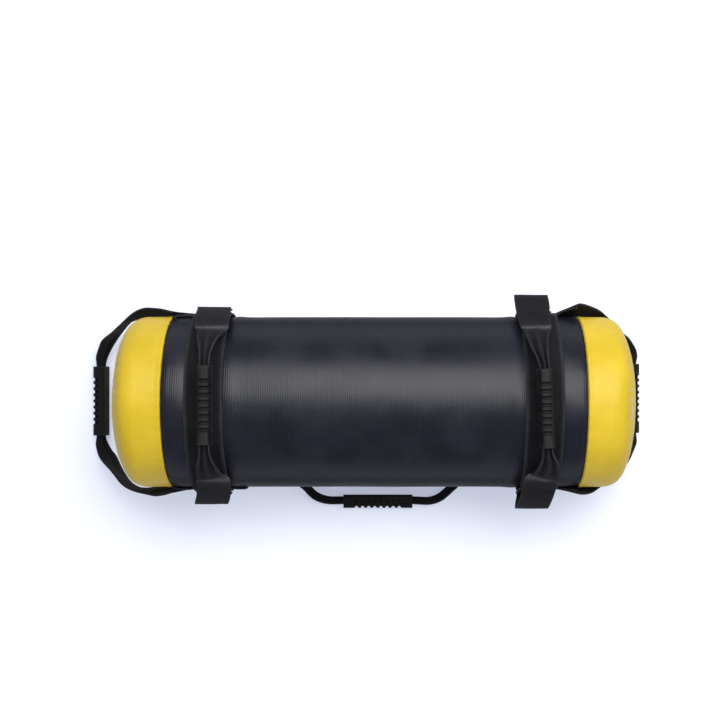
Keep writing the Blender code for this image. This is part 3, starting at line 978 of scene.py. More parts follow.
def traced(placeAt, paths):
    # rows of points on a sheet's outer face, which looks away from the bag's axis
    small = 0.004
    rows = []
    for path in paths:
        shares = []
        for (s0, t0), (s1, t1) in zip(path, path[1:]):
            steps = max(2, round((placeAt(s1, t1) - placeAt(s0, t0)).length / thread["traceStep"]))
            shares += [(s0 + (s1 - s0) * step / steps, t0 + (t1 - t0) * step / steps) for step in range(steps)]
        row = []
        for s, t in shares + [path[-1]]:
            place = placeAt(s, t)
            alongS = placeAt(min(s + small, 1), t) - placeAt(max(s - small, 0), t)
            alongT = placeAt(s, min(t + small, 1)) - placeAt(s, max(t - small, 0))
            normal = alongS.cross(alongT).normalized()
            if normal.dot(place - Vector((place.x, 0, axisHeight))) < 0:
                normal.negate()
            row.append((place + normal * (webbing["thickness"] / 2), normal))
        rows.append(row)
    return rows


# webbing sewn flat on the bag
sewn = {
    "tailInset": 0.001,
    "tailLength": 0.087,
    "hiddenTailLength": 0.064,
    "hingeInset": 0.005,
    # how far the middle of each tail stands off the bag at its hinge, its upper edge's flare, and the curve
    "tailLift": {"left far": (0.0002, 0.0008, 1.2), "left near": (0.0004, 0.0010, 1.2),
                 "right far": (0.0050, 0.0060, 0.6), "right near": (0.0014, 0.0026, 1.3)},
    "liftLimit": 1.2,
    "climbFrom": 1.5,  # a girth band climbs over a tail from this many half widths off its middle
    "tailBox": (0.03, 0.955),  # the sewn box: its start past the band and its end, as shares of the tail
    "tailFoot": 0.035,
    "frontX": 0.189,
    "frontEndLength": 0.038,
    "frontBox": (0.08, 0.46),
    "sideAngle": -42.0,
    "sideInner": 0.108,
    "sideOuter": 0.142,
    "edgeMargin": 0.0032,
    "besideBand": 0.002,
    "bandWaver": (0.0006, 2.5),  # how far the girth bands wander along the bag, and the scale of it
    "rub": {"band": 0.35, "tail": 0.12, "tailEnd": 0.1, "edge": 0.4, "end": 0.5},
    "rubWidth": 0.04,
    "tailEndRub": 0.02,
    "endRub": 0.03,
    "lapStart": 0.1,
    "lapRub": 0.3,
    "cells": 10,
    "bandCell": 0.0036,
}
halfAngle = math.asin(webbing["halfWidth"] / bagRadius)


def edgesOf(s, width=sewn["rubWidth"]):
    return bumpAt(s, 0, width) + bumpAt(s, 1, width)


def boxAndCross(start, end):
    low = sewn["edgeMargin"] / strapWidth
    high = 1 - low
    corners = [(low, start), (high, start), (high, end), (low, end), (low, start)]
    return [corners, [(low, start), (high, end)], [(low, end), (high, start)]]


def bandLift(angle):
    # a girth band climbs over the tails on the bag's two sides
    level = math.atan2(math.sin(angle), abs(math.cos(angle)))
    beyond = abs(level) - halfAngle * sewn["climbFrom"]
    share = min(max(1 - beyond / halfAngle, 0), 1)
    return bandStep * share * share * (3 - 2 * share)


def makeBand(side, hand):
    low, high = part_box("girth_band_" + hand)
    width = high.x - low.x
    waver, scale = sewn["bandWaver"]

    def placeAt(s, t):
        angle = t * math.tau - math.pi / 2
        place = onBag(low.x + width * s, angle, layer + bandLift(angle))
        place.x += waver * wrinkle((side, math.cos(angle), math.sin(angle)), scale, 9)
        return place

    def markAt(s, t):
        return sewn["rub"]["band"] * edgesOf(s)

    name = "girthBand" + hand.title()
    girth = math.tau * bagRadius
    around = round(girth / sewn["bandCell"])
    band = laySheet(name, placeAt, width, girth, sewn["cells"], around, markAt, ring=True)
    settle(band, "bag", "girth_band_" + hand)
    margin = sewn["edgeMargin"] / width
    # each edge has two rows, with a gap between them on top
    halves = [range(1, 30), range(31, 60)]
    return traced(placeAt, [[(s, n / 60) for n in half] for s in (margin, 1 - margin) for half in halves])


def makeTail(side, hand, across, place):
    outer = seamX - sewn["tailInset"]
    shown = hand == "left" and across < 0
    inner = outer - sewn["tailLength" if shown else "hiddenTailLength"]
    length = outer - inner
    middle = 0 if across > 0 else math.pi
    lift, flare, curve = sewn["tailLift"][hand + " " + place]
    clearOfBand = bandX + bagShape["bandHalfWidth"]
    rub = sewn["rub"]

    def placeAt(s, t):
        angle = middle + (s - 0.5) * 2 * halfAngle
        x = inner + (outer - inner) * t
        share = min(max((x - clearOfBand) / (seamX - sewn["hingeInset"] - clearOfBand), 0), sewn["liftLimit"])
        raised = share ** curve * (lift + across * flare * (2 * s - 1))
        return onBag(side * x, angle, layer + max(raised, 0))

    def markAt(s, t):
        return rub["tail"] * edgesOf(s) + rub["tailEnd"] * bumpAt(t, 1, sewn["tailEndRub"])

    name = "endTail" + hand.title() + place.title()
    tail = laySheet(name, placeAt, strapWidth, length, sewn["cells"], 24, markAt)
    settle(tail, "bag", "end_strap_tail_" + hand + "_" + place)
    start, end = sewn["tailBox"]
    paths = boxAndCross((clearOfBand + sewn["besideBand"] - inner) / length + start, end)
    if shown:
        # the part beyond the band is sewn along its edges and across its foot
        foot, low = sewn["tailFoot"], sewn["edgeMargin"] / strapWidth
        underBand = (bandX - bagShape["bandHalfWidth"] - sewn["besideBand"] - inner) / length
        paths.append([(low, foot), (1 - low, foot)])
        paths += [[(s, foot), (s, underBand)] for s in (low, 1 - low)]
    return traced(placeAt, paths)


def makeFrontEnd(side, hand, across, place):
    top = halfAngle / 2
    bottom = top - sewn["frontEndLength"] / bagRadius
    rub = sewn["rub"]

    def placeAt(s, t):
        level = bottom + (top - bottom) * t
        angle = level if across > 0 else math.pi - level
        onBand = onBag(side * bandX, angle, layer + bandStep + bandLift(angle))
        x = side * sewn["frontX"] + front[hand]["lapDrift"] + (s - 0.5) * strapWidth
        return Vector((x, onBand.y, onBand.z))

    def markAt(s, t):
        return rub["edge"] * edgesOf(s) + rub["end"] * bumpAt(t, 0, sewn["endRub"])

    end = laySheet("frontEnd" + hand.title() + place.title(), placeAt, strapWidth, sewn["frontEndLength"],
                   sewn["cells"], 14, markAt)
    settle(end, "bag", "front_strap_end_" + hand + "_" + place)
    return traced(placeAt, boxAndCross(*sewn["frontBox"]))


def makeSideEnd(side, hand):
    middle = math.pi - math.radians(sewn["sideAngle"])
    inner, length = sewn["sideInner"], sewn["sideOuter"] - sewn["sideInner"]
    rub = sewn["rub"]

    def placeAt(s, t):
        return onBag(side * (inner + length * t), middle + (s - 0.5) * 2 * halfAngle, layer)

    def markAt(s, t):
        return rub["edge"] * edgesOf(s) + rub["end"] * bumpAt(t, 1, sewn["endRub"])

    end = laySheet("sideEnd" + hand.title(), placeAt, strapWidth, length, sewn["cells"], 12, markAt)
    settle(end, "bag", "side_strap_end_" + hand)


# the moulded grip, modelled once along Y with its ribs on +Z
grip = {
    "length": 0.088,
    "ribPitch": 0.0078,
    "ribGaps": 8,
    "ribDepth": 0.0024,
    "gapPower": 0.6,
    "ribNarrowing": 0.13,
    "narrowFrom": 0.0040,  # over this height the ridge narrows at each gap
    "gapFrom": 0.0050,  # over this height the gaps begin
    "gapRows": (-0.0024, -0.0020, -0.0010, 0.0, 0.0010, 0.0020, 0.0024),
    "ribRows": (0.0031, 0.0039, 0.0047),
    "endRows": (0.0020, 0.0050),  # inwards from each end
    "collarRows": (0.0030, 0.0012),  # outwards from the first gap
    "windowHalf": 0.0020,
    "windowDepth": 0.0011,
    "windowRim": 0.00018,
    "windowSpan": 0.9,  # the windows lie within this share of the grip
    "flankFrom": 0.006,
    "flank": (0.0048, 0.0076, 0.2),  # a window's floor lies between the first two; the third is the slope
    "endRound": 0.0006,
    "endStep": 0.35,  # share of that rounding by which the end faces' rims stand back
    "endScale": 0.955,
    "boreHalf": (0.0058, 0.0052),
    "borePower": 0.38,
    "boreDrop": 0.0012,
    "neckHalf": 0.0048,  # half width of the webbing in the bore
    "neckInside": 0.004,
    "crest": (0.0068, 0.0015),  # rubbed from this height on, and fully this much further up
    "crestRub": 0.75,
    "collarRub": 0.6,
    "collarWidth": 0.0015,
}
# right half of the grip's section in millimetres: a broad base below, a narrow ridge on it
gripSection = (
    (0, -8.5), (2.4, -8.5), (4.8, -8.5), (6.8, -8.35), (8.1, -7.7), (8.8, -6.7), (9.0, -5.6), (9.0, -4.5),
    (9.0, -3.5), (8.95, -2.9), (8.7, -2.35), (8.2, -2.0), (7.6, -1.7), (7.3, 0.9), (6.9, 3.4), (6.6, 4.5),
    (6.25, 5.6), (5.9, 6.6), (5.2, 7.7), (3.9, 8.3), (2.0, 8.5), (0, 8.5))
windowPoints = (12, 14)  # a window reaches from the first of these points of the section up to the second


def gripRing():
    right = [(x / 1000, z / 1000) for x, z in gripSection]
    return right + [(-x, z) for x, z in right[-2:0:-1]]


def boreRing(count):
    # a rounded slot with as many points as the section, starting below
    points = []
    for index in range(count):
        angle = index / count * math.tau - math.pi / 2
        x, z = (half * math.copysign(abs(reach) ** grip["borePower"], reach)
                for half, reach in zip(grip["boreHalf"], (math.cos(angle), math.sin(angle))))
        points.append((x, z - grip["boreDrop"]))
    return points


def gripRows():
    half = grip["length"] / 2
    rows = []
    for number in range(grip["ribGaps"]):
        middle = (number - (grip["ribGaps"] - 1) / 2) * grip["ribPitch"]
        rows += [middle + offset for offset in grip["gapRows"]]
        if number < grip["ribGaps"] - 1:
            rows += [middle + offset for offset in grip["ribRows"]]
    edges = [-half + inwards for inwards in (0, grip["endRound"], *grip["endRows"])]
    edges += [rows[0] - outward for outward in grip["collarRows"]]
    return edges + rows + [-value for value in edges[::-1]]


def fromGap(y):
    # the distance to the middle of the nearest gap
    span = (grip["ribGaps"] - 1) / 2
    number = min(max(round(y / grip["ribPitch"] + span), 0), grip["ribGaps"] - 1)
    return abs(y - (number - span) * grip["ribPitch"])


def ribCut(y):
    # how deep a gap is there, from 0 to 1
    return max(1 - (fromGap(y) / grip["gapRows"][-1]) ** 2, 0) ** grip["gapPower"]


def moveRing(piece, old, new, half):
    # each selected end vertex takes the place of its nearest point of the old ring, on the new ring
    shape = bmesh.from_edit_mesh(piece.data)
    for vert in [v for v in shape.verts if v.select]:
        index = min(range(len(old)), key=lambda n: (old[n][0] - vert.co.x) ** 2 + (old[n][1] - vert.co.z) ** 2)
        vert.co = (new[index][0], math.copysign(half, vert.co.y), new[index][1])
    bmesh.update_edit_mesh(piece.data)


def makeGrip():
    section = gripRing()
    rows = gripRows()
    half = grip["length"] / 2
    piece = startTube("gripPattern", len(section), 0.01, grip["length"], 1, len(rows) - 2, ends="NGON")
    shape = bmesh.from_edit_mesh(piece.data)
    spacing = grip["length"] / (len(rows) - 1)
    for vert in shape.verts:
        row = round((vert.co.y + half) / spacing)
        turn = (math.atan2(vert.co.z, vert.co.x) + math.pi / 2) % math.tau
        x, z = section[round(turn / math.tau * len(section)) % len(section)]
        cut = ribCut(rows[row])
        reach = min(max((z - grip["gapFrom"]) / grip["ribDepth"], 0), 1)
        x *= 1 - grip["ribNarrowing"] * cut * (z > grip["narrowFrom"])
        z -= grip["ribDepth"] * cut * reach * reach * (3 - 2 * reach)
        vert.co = (x, rows[row], z)
    # windows in both flanks, one beside each gap
    low, high = (gripSection[index][1] / 1000 for index in windowPoints)

    def isWindow(face):
        centre = face.calc_center_median()
        onFlank = low < centre.z < high and abs(centre.x) > grip["flankFrom"]
        return onFlank and fromGap(centre.y) < grip["windowHalf"]

    choose(piece, "FACE", isWindow)
    bpy.ops.mesh.inset(thickness=grip["windowRim"], depth=0)
    bpy.ops.mesh.inset(thickness=0.0001, depth=-grip["windowDepth"])
    # the two ends are rounded off, opened and joined by the bore that the strap runs through
    choose(piece, "FACE", lambda face: abs(face.normal.y) > 0.9 and len(face.verts) > 20)
    shape = bmesh.from_edit_mesh(piece.data)
    for vert in shape.verts:
        if abs(abs(vert.co.y) - half) < 1e-6:
            vert.co.y = math.copysign(half - grip["endRound"] * grip["endStep"], vert.co.y)
    bmesh.update_edit_mesh(piece.data)
    smaller = [(x * grip["endScale"], z * grip["endScale"]) for x, z in section]
    for old, new in ((section, smaller), (smaller, boreRing(len(section)))):
        bpy.ops.mesh.inset(thickness=0.0004, depth=0)
        moveRing(piece, old, new, half)
    bpy.ops.mesh.delete(type="ONLY_FACE")
    choose(piece, "EDGE", lambda edge: edge.is_boundary)
    bpy.ops.mesh.bridge_edge_loops()
    bpy.ops.mesh.select_all(action="SELECT")
    bpy.ops.mesh.normals_make_consistent(inside=False)
    bpy.ops.object.mode_set(mode="OBJECT")
    marks = []
    crestFrom, crestFull = grip["crest"]
    inner, outer, slope = grip["flank"]
    for vert in piece.data.vertices:
        crest = min(max((vert.co.z - crestFrom) / crestFull, 0), 1)
        collar = bumpAt(abs(vert.co.y), half, grip["collarWidth"]) * grip["collarRub"]
        floorX = outer - slope * (vert.co.z - low) - grip["windowDepth"] * 0.5
        atWindows = low < vert.co.z < high and abs(vert.co.y) < half * grip["windowSpan"]
        sunk = atWindows and inner < abs(vert.co.x) < floorX
        # window floors get the mark -1, which the rubber paints near black as shade in the recesses
        marks.append(-1.0 if sunk else min(grip["crestRub"] * crest + collar, 1))
    setMark(piece.data, marks)
    dress(piece, materials["rubber"])
    finish(piece, 42)
    return piece


gripPattern = makeGrip()
print("grip pattern:", len(gripPattern.data.polygons), "faces")


def placeGrip(name, matrix, body, node):
    piece = addObject(name, gripPattern.data.copy())
    piece.data.name = name
    piece.data.transform(matrix)
    settle(piece, body, node, "grip_rubber")


# webbing loops that swing, each laid out in the frame of its hinge: Y across the bag, Z outwards
pleats = {
    "deepest": 0.0076,
    "flare": 0.0004,
    "flareScale": 60,
    "crumple": 0.0005,
    "crumpleScale": (1.3, 38),  # across the strap and along it
    "creaseFrom": 0.6,  # a knot that is rubbed more than this is a crease
    "creaseWidth": 0.0022,
    "rub": {"knot": 0.25, "edge": 0.13, "ridge": 0.09, "crease": 0.8},
    "rubWidth": 0.03,
    "across": 24,
}


def smoothRoute(points, rounds):
    for _ in range(rounds):
        cut = [points[0]]
        for here, there in zip(points, points[1:]):
            cut += [here.lerp(there, 0.25), here.lerp(there, 0.75)]
        points = cut + [points[-1]]
    return points


def throughGrip(placing, across, outside, wider, roll=0):
    # two knots on one side of a grip: just outside it and in its bore
    knots = []
    for reach, factor in ((outside, wider), (-grip["neckInside"], 1)):
        place = placing @ Vector((0, across * (grip["length"] / 2 + reach), -grip["boreDrop"]))
        knots.append((*place, grip["neckHalf"] * factor, 0, 1, 0, roll))
    return knots


def layLoop(name, knots, matrix, seed, rounds=3, crumple=pleats["crumple"]):
    # knots: x, y, z, half width, lean of the width from X, gather 0-1, rub 0-1, roll about the strap's own run
    fine = smoothRoute([Vector(knot) for knot in knots], rounds)
    lengths = runLengths(fine)
    length = lengths[-1]
    along = round(length / webbing["cellAlong"])
    targets = [length * step / along for step in range(along + 1)]
    route = [fine[index].lerp(fine[index + 1], share) for index, share in stepsTo(lengths, targets)]
    frames = []
    for index, point in enumerate(route):
        before, after = route[max(index - 1, 0)], route[min(index + 1, along)]
        ahead = (Vector(after[:3]) - Vector(before[:3])).normalized()
        wide = Vector((math.cos(point[4]), 0, math.sin(point[4])))
        wide = (wide - ahead * wide.dot(ahead)).normalized()
        turn = Matrix.Rotation(point[7], 3, ahead)
        frames.append((Vector(point[:3]), turn @ wide, turn @ ahead.cross(wide).normalized()))

    def placeAt(s, t):
        index = min(int(t * along), along - 1)
        share = t * along - index
        centre, wide, out = (here.lerp(there, share) for here, there in zip(frames[index], frames[index + 1]))
        point = route[index].lerp(route[index + 1], share)
        halfWidth, gather = point[3], point[5]
        sideways = 2 * s - 1
        # spare width goes into one pleat in the middle
        spare = math.sqrt(max(webbing["halfWidth"] ** 2 - halfWidth ** 2, 0)) / 2
        depth = min(spare, pleats["deepest"]) * gather
        fold = (math.cos(math.tau * sideways) - 1) / 2 + 0.5 * gather
        widthScale, runScale = pleats["crumpleScale"]
        ripple = crumple * wrinkle((s * widthScale, t * length * runScale, seed), 1.0, seed)
        flare = wrinkle((0, t * length * pleats["flareScale"], seed), 1.0, seed + 3)
        loose = (1 - gather) * (ripple + pleats["flare"] * sideways ** 2 * flare)
        return matrix @ (centre + wide * (halfWidth * sideways) + out * (depth * fold + loose))

    rubs = [point[6] for point in route]
    creases = [index / along for index in range(1, along)
               if rubs[index] > pleats["creaseFrom"] and rubs[index - 1] < rubs[index] >= rubs[index + 1]]
    rub = pleats["rub"]

    def markAt(s, t):
        point = route[min(round(t * along), along)]
        mark = rub["knot"] * max(point[6], 0) ** 2 + rub["edge"] * edgesOf(s, pleats["rubWidth"])
        mark += rub["ridge"] * point[5] * (bumpAt(s, 0.5, sewn["rubWidth"]) + edgesOf(s))
        creased = sum(bumpAt((t - place) * length, 0, pleats["creaseWidth"]) for place in creases)
        return min(mark + rub["crease"] * creased, 1)

    print(name, "strap length", round(length, 3))
    return laySheet(name, placeAt, strapWidth, length, pleats["across"], along, markAt), placeAt, length


def sewLaps(name, placeAt, share, end):
    # a box and a cross on both laps of a strap; share is a lap's part of the strap
    low, high = sewn["lapStart"] * share, end * share
    sew(name, traced(placeAt, boxAndCross(low, high) + boxAndCross(1 - low, 1 - high)))


front = {
    "rise": 0.0275,
    "lap": 0.020,
    "lapEnd": 0.92,
    "bend": 0.035,
    "neck": (0.003, 1.12),  # just outside the grip: how far, and the width there over that in the bore
    # from the bag's side up to the grip: drift along X, distance across, height, half width, gather, rub
    "left": {
        "far": (
            (-0.002, 0.114, 0.026, 0.0198, 0, 0.1), (0, 0.1045, 0.053, 0.0198, 0, 0),
            (0.0014, 0.09, 0.0755, 0.0194, 0, 0.3), (0.0018, 0.0868, 0.0792, 0.0192, 0.02, 1.3),
            (0.0012, 0.0838, 0.0835, 0.016, 0.2, 0.2), (-0.0008, 0.076, 0.095, 0.0122, 0.55, 0),
            (0, 0.064, 0.112, 0.008, 0.9, 0), (0.0004, 0.057, 0.1205, 0.006, 1, 0)),
        "near": (
            (-0.0072, 0.1235, 0.026, 0.0192, 0, 0.1), (0.001, 0.108, 0.053, 0.0198, 0, 0),
            (0.0032, 0.0905, 0.0748, 0.0196, 0, 0.4), (0.0034, 0.0866, 0.0792, 0.0192, 0.02, 1.3),
            (0.0004, 0.0838, 0.0835, 0.0155, 0.2, 0.2), (-0.0008, 0.075, 0.0965, 0.0126, 0.5, 0),
            (-0.0006, 0.064, 0.112, 0.0092, 0.8, 0), (0, 0.056, 0.1215, 0.0064, 1, 0)),
        "grip": (0.0008, 0.0002, 0.0),
        "lapDrift": -0.0066,
    },
    "right": {
        "far": (
            (-0.0044, 0.132, 0.026, 0.0196, 0, 0.1), (-0.005, 0.113, 0.053, 0.02, 0, 0),
            (-0.003, 0.09, 0.0755, 0.018, 0, 0.3), (-0.0026, 0.0868, 0.0792, 0.0168, 0.1, 1.2),
            (-0.003, 0.0838, 0.0835, 0.0148, 0.25, 0.2), (-0.0032, 0.076, 0.095, 0.0122, 0.55, 0),
            (-0.0032, 0.064, 0.112, 0.0098, 0.8, 0), (-0.0015, 0.052, 0.125, 0.0064, 1, 0)),
        "near": (
            (-0.0044, 0.13, 0.026, 0.0192, 0, 0.1), (0, 0.112, 0.053, 0.019, 0, 0),
            (0.0028, 0.0905, 0.0748, 0.0198, 0, 0.4), (0.0032, 0.0868, 0.0792, 0.02, 0.02, 1.3),
            (0.007, 0.0838, 0.0835, 0.0158, 0.2, 0.2), (0.0084, 0.075, 0.0965, 0.0128, 0.5, 0),
            (0.0084, 0.064, 0.112, 0.0098, 0.8, 0), (0.0056, 0.056, 0.1215, 0.0066, 1, 0)),
        "grip": (0.0024, -0.0034, 2.2),  # drift along X and Y, and its turn
        "lapDrift": 0.0030,
    },
}
lapLayer = 3 * bandStep + layer


def makeFrontHandle(side, hand):
    setting = front[hand]
    matrix = Matrix.Translation((side * sewn["frontX"], 0, axisHeight))
    driftX, driftY, turn = setting["grip"]
    placing = Matrix.Translation((driftX, driftY, bagRadius + front["rise"]))
    placing = placing @ Matrix.Rotation(math.radians(turn), 4, "Z")

    def oneSide(across, route):
        lapX, lapY = setting["lapDrift"], across * (bagRadius + lapLayer)
        knots = [(lapX, lapY, -front["lap"], webbing["halfWidth"], 0, 0, sewn["lapRub"], 0),
                 (lapX, lapY, 0, webbing["halfWidth"], 0, 0, 0, 0)]
        knots += [(x, across * y, z, width, 0, gather, rub, 0) for x, y, z, width, gather, rub in route]
        return knots + throughGrip(placing, across, *front["neck"])

    knots = oneSide(1, setting["far"]) + oneSide(-1, setting["near"])[::-1]
    body = "front_handle_" + hand
    strap, placeAt, length = layLoop("frontStrap" + hand.title(), knots, matrix, 11 + side)
    settle(strap, None, "front_strap_" + hand)
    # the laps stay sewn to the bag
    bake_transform(strap)
    placeGrip("frontGrip" + hand.title(), matrix @ placing, body, "front_grip_" + hand)
    sewLaps("frontStitches" + hand.title(), placeAt, front["lap"] / length, front["lapEnd"])


ends = {
    "gripHalf": 0.0095,  # half the depth of the CAD's grip
    "neck": (0.004, 1.2),
    "neckRoll": 16,
    "crumple": 0.0009,
    # from the hinge out to the grip: distance across, reach from the hinge, half width, gather, roll
    "left": {
        "gap": 0.0316, "tilt": 36.5, "shift": -0.0015,
        "far": (
            (0.1066, -0.009, 0.02, 0, -2), (0.1071, 0, 0.02, 0, -7), (0.108, 0.015, 0.02, 0, -11),
            (0.109, 0.0333, 0.02, 0, -15), (0.1088, 0.0442, 0.02, 0, -13), (0.1064, 0.0582, 0.02, 0, -6),
            (0.103, 0.0735, 0.02, 0, 8), (0.098, 0.09, 0.02, 0.02, 20), (0.0922, 0.103, 0.0196, 0.08, 24),
            (0.0852, 0.114, 0.0186, 0.15, 20), (0.0772, 0.124, 0.0166, 0.3, 14),
            (0.069, 0.13, 0.0136, 0.45, 10), (0.0605, 0.1362, 0.0115, 0.65, 12),
            (0.0535, 0.1398, 0.0092, 0.85, 14)),
        "near": (
            (0.1062, -0.009, 0.02, 0, -3), (0.1079, 0.0088, 0.02, 0, -13), (0.1086, 0.02, 0.02, 0, -14),
            (0.1084, 0.0327, 0.02, 0, -12), (0.1091, 0.0529, 0.02, 0, -5), (0.1094, 0.0695, 0.02, 0, 5),
            (0.1062, 0.086, 0.02, 0.02, 18), (0.0982, 0.1015, 0.02, 0.08, 26),
            (0.089, 0.113, 0.0192, 0.15, 23), (0.0792, 0.1225, 0.0176, 0.25, 14),
            (0.0695, 0.13, 0.015, 0.4, 5), (0.0612, 0.1365, 0.0118, 0.65, 8),
            (0.0545, 0.1398, 0.0092, 0.88, 12)),
    },
    "right": {
        "gap": 0.0070, "tilt": 43.2, "shift": 0.0019,
        "far": (
            (0.1106, -0.013, 0.02, 0, -16), (0.1115, -0.007, 0.02, 0, -19), (0.1098, 0.0088, 0.02, 0, -18),
            (0.107, 0.0291, 0.02, 0, -10), (0.1033, 0.0469, 0.0195, 0, 4),
            (0.0968, 0.067, 0.018, 0.02, 14), (0.0872, 0.0849, 0.016, 0.1, 18),
            (0.0818, 0.0989, 0.0145, 0.25, 18), (0.0712, 0.1105, 0.0125, 0.5, 18),
            (0.063, 0.118, 0.0105, 0.7, 18), (0.0545, 0.1205, 0.0084, 0.9, 16)),
        "near": (
            (0.1062, -0.013, 0.02, 0, -6), (0.1069, -0.008, 0.02, 0, -8), (0.1066, 0.0118, 0.02, 0, -10),
            (0.1036, 0.028, 0.02, 0, -2), (0.1005, 0.047, 0.0195, 0, 8), (0.0952, 0.067, 0.0182, 0.02, 14),
            (0.087, 0.086, 0.0158, 0.12, 18), (0.0758, 0.1033, 0.0127, 0.4, 18),
            (0.0595, 0.115, 0.0098, 0.8, 18), (0.0535, 0.1195, 0.0082, 0.95, 16)),
    },
}


def makeEndHandle(side, hand):
    setting = ends[hand]
    tilt = math.radians(setting["tilt"])
    out = cornerX - seamX + sewn["hingeInset"]
    reach = out * math.cos(tilt) + cornerStart * math.sin(tilt) + capShape["cornerRadius"]
    reach += setting["gap"] + ends["gripHalf"]
    matrix = Matrix.Translation((side * (seamX - sewn["hingeInset"]), 0, axisHeight))
    matrix = matrix @ Matrix.Rotation(side * (math.pi / 2 + tilt), 4, "Y")
    roll = side * math.radians(ends["neckRoll"])
    placing = Matrix.Translation((0, setting["shift"], reach)) @ Matrix.Rotation(-roll, 4, "Y")

    def oneSide(across, route):
        knots = [(0, across * y, z, width, 0, gather, 0, side * math.radians(angle))
                 for y, z, width, gather, angle in route]
        return knots + throughGrip(placing, across, *ends["neck"], roll)

    knots = oneSide(1, setting["far"]) + oneSide(-1, setting["near"])[::-1]
    body = "end_handle_" + hand
    strap, _, _ = layLoop("endStrap" + hand.title(), knots, matrix, 21 + side, 2, ends["crumple"])
    settle(strap, body, "end_strap_" + hand)
    placeGrip("endGrip" + hand.title(), matrix @ placing, body, "end_grip_" + hand)


sideLoop = {
    "gripX": 0.0021,
    "gripY": 0.130,
    "gripZ": 0.0106,
    "gripTilt": -7,
    "endX": 0.142,
    "lapX": 0.112,
    "lapEnd": 0.9,
    "bend": (0.0025, 0.0300),  # how far out from the lap the webbing starts and ends to bend
    "neck": (0.004, 1.2),
    # beside the lap, then towards the grip: distance along X, out from the axis, height, half width, gather
    "left": (
        (0.1, 0.101, 0.02, 0.016, 0.3), (0.09, 0.11, 0.017, 0.0142, 0.55),
        (0.084, 0.1176, 0.015, 0.0118, 0.8), (0.076, 0.1242, 0.0125, 0.0088, 1),
        (0.062, 0.129, 0.0108, 0.0064, 1)),
    "right": (
        (0.104, 0.103, 0.02, 0.016, 0.3), (0.0975, 0.1105, 0.017, 0.0142, 0.55),
        (0.0885, 0.119, 0.015, 0.0118, 0.8), (0.081, 0.1252, 0.0125, 0.0088, 1),
        (0.068, 0.13, 0.0108, 0.0064, 1)),
}


def makeSideHandle():
    angle = math.radians(-sewn["sideAngle"])
    outward = -rayAt(angle)
    full = webbing["halfWidth"]
    lap = bagRadius + layer + bandStep
    endY, endZ = -lap * math.cos(angle), axisHeight - lap * math.sin(angle)
    hingeY, hingeZ = endY - full * math.sin(angle), endZ + full * math.cos(angle)
    turned = Matrix(((0, 1, 0), (0, 0, -1), (-1, 0, 0))).to_4x4()
    matrix = Matrix.Translation((0, hingeY, hingeZ)) @ turned
    placing = Matrix.Translation((hingeZ - sideLoop["gripZ"], sideLoop["gripX"], hingeY + sideLoop["gripY"]))
    placing = placing @ Matrix.Rotation(math.radians(sideLoop["gripTilt"]), 4, "Y")

    def knot(x, y, z, halfWidth, lean, gather, rub=0.0):
        return (hingeZ - z, x, hingeY - y, halfWidth, lean, gather, rub, 0)

    def oneSide(across, hand):
        knots = [knot(across * sideLoop["endX"], endY, endZ, full, -angle, 0, sewn["lapRub"]),
                 knot(across * sideLoop["lapX"], endY, endZ, full, -angle, 0)]
        knots += [knot(across * x, -y, z, width, -angle * (1 - gather) / 2, gather)
                  for x, y, z, width, gather in sideLoop[hand]]
        return knots + throughGrip(placing, across, *sideLoop["neck"])

    knots = oneSide(1, "right") + oneSide(-1, "left")[::-1]
    strap, placeAt, length = layLoop("sideStrap", knots, matrix, 31)
    settle(strap, None, "side_strap")
    # the laps stay sewn to the bag
    start, end = (Vector((0, 0, axisHeight)) + outward * (lap + reach) for reach in sideLoop["bend"])
    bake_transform(strap)
    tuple(start)
    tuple(end)
    placeGrip("sideGrip", matrix @ placing, "side_handle", "side_grip")
    sewLaps("sideStitches", placeAt, (sideLoop["endX"] - sideLoop["lapX"]) / length, sideLoop["lapEnd"])


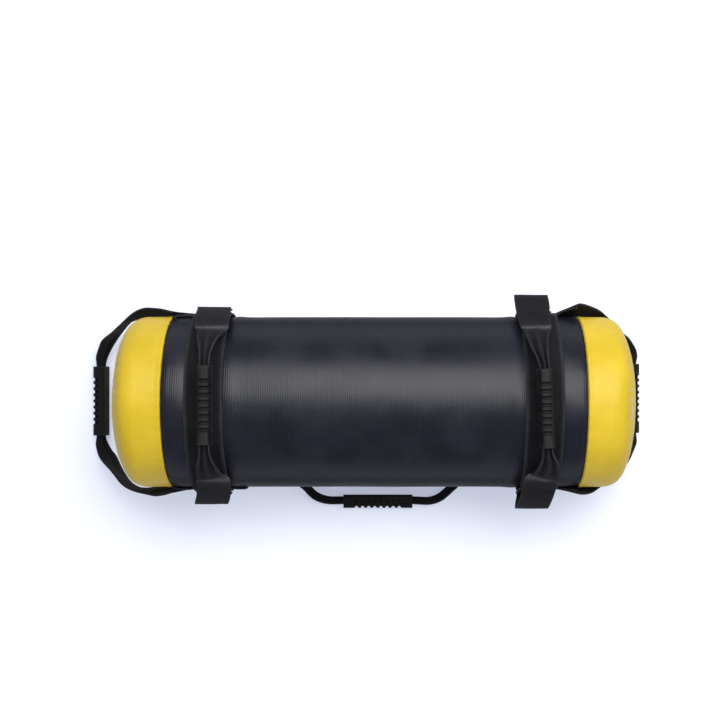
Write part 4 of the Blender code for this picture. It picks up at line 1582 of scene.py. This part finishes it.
bagRows = []
for side, hand in ((-1, "left"), (1, "right")):
    bagRows += makeBand(side, hand)
    makeFrontHandle(side, hand)
    makeEndHandle(side, hand)
    makeSideEnd(side, hand)
    for across, place in ((1, "far"), (-1, "near")):
        bagRows += makeTail(side, hand, across, place)
        bagRows += makeFrontEnd(side, hand, across, place)
makeSideHandle()
sew("bagStitches", bagRows)
bpy.data.objects.remove(gripPattern)
print("webbing ready")


# the two round seams, stitched beside the join on both cloths
seams = {
    "bodySeamStitches": (-0.0045, "blackThread", "body_cloth", (bagBody, bagBody)),
    "capSeamStitches": (0.0048, "yellowThread", "cap_cloth", (caps["left"], caps["right"])),
    "around": 260,
    "floorZone": 0.003,  # no stitches where the cloth lies on the floor
}


def ringOn(piece, x):
    tree = treeOf(piece)
    line = []
    for step in range(seams["around"] + 1):
        out = rayAt(step / seams["around"] * math.tau - math.pi / 2)
        far = Vector((x, 0, axisHeight)) + out * (bagRadius * 1.5)
        hit, normal, _, _ = tree.ray_cast(far, -out)
        if hit and hit.z > seams["floorZone"]:
            line.append((hit, normal))
        elif len(line) > 4:
            break
    return line


for name in ("bodySeamStitches", "capSeamStitches"):
    offset, key, slot, pieces = seams[name]
    sew(name, [ringOn(piece, side * (seamX + offset)) for piece, side in zip(pieces, (-1, 1))], key, slot)
print("seams stitched")

# floor


def makeFloor():
    deselect()
    bpy.ops.mesh.primitive_plane_add(size=studio["floorSize"], location=(0, 0, -studio["floorDrop"]))
    floor = bpy.context.object
    floor.name = floor.data.name = "studioFloor"
    bpy.ops.object.transform_apply(location=True, rotation=True, scale=True)
    material, shader = startMaterial("paleFloor", studio["floorTone"], studio["floorRoughness"])
    tree = material.node_tree
    scale, darker = studio["floorClouds"]
    low = tuple(channel * darker for channel in studio["floorTone"])
    cloudy = noiseOf(tree, coordinates(material, "Object"), scale)
    tree.links.new(blendColours(tree, cloudy, low, studio["floorTone"]), shader["Base Color"])
    shader["Specular IOR Level"].default_value = studio["floorSpecular"]
    shader["Emission Color"].default_value = (*studio["floorGlow"], 1)
    path = tree.nodes.new("ShaderNodeLightPath")
    glow = spread(tree, path.outputs["Is Camera Ray"], (0, 1, studio["glowShare"], 1))
    tree.links.new(glow, shader["Emission Strength"])
    dress(floor, material)


makeFloor()
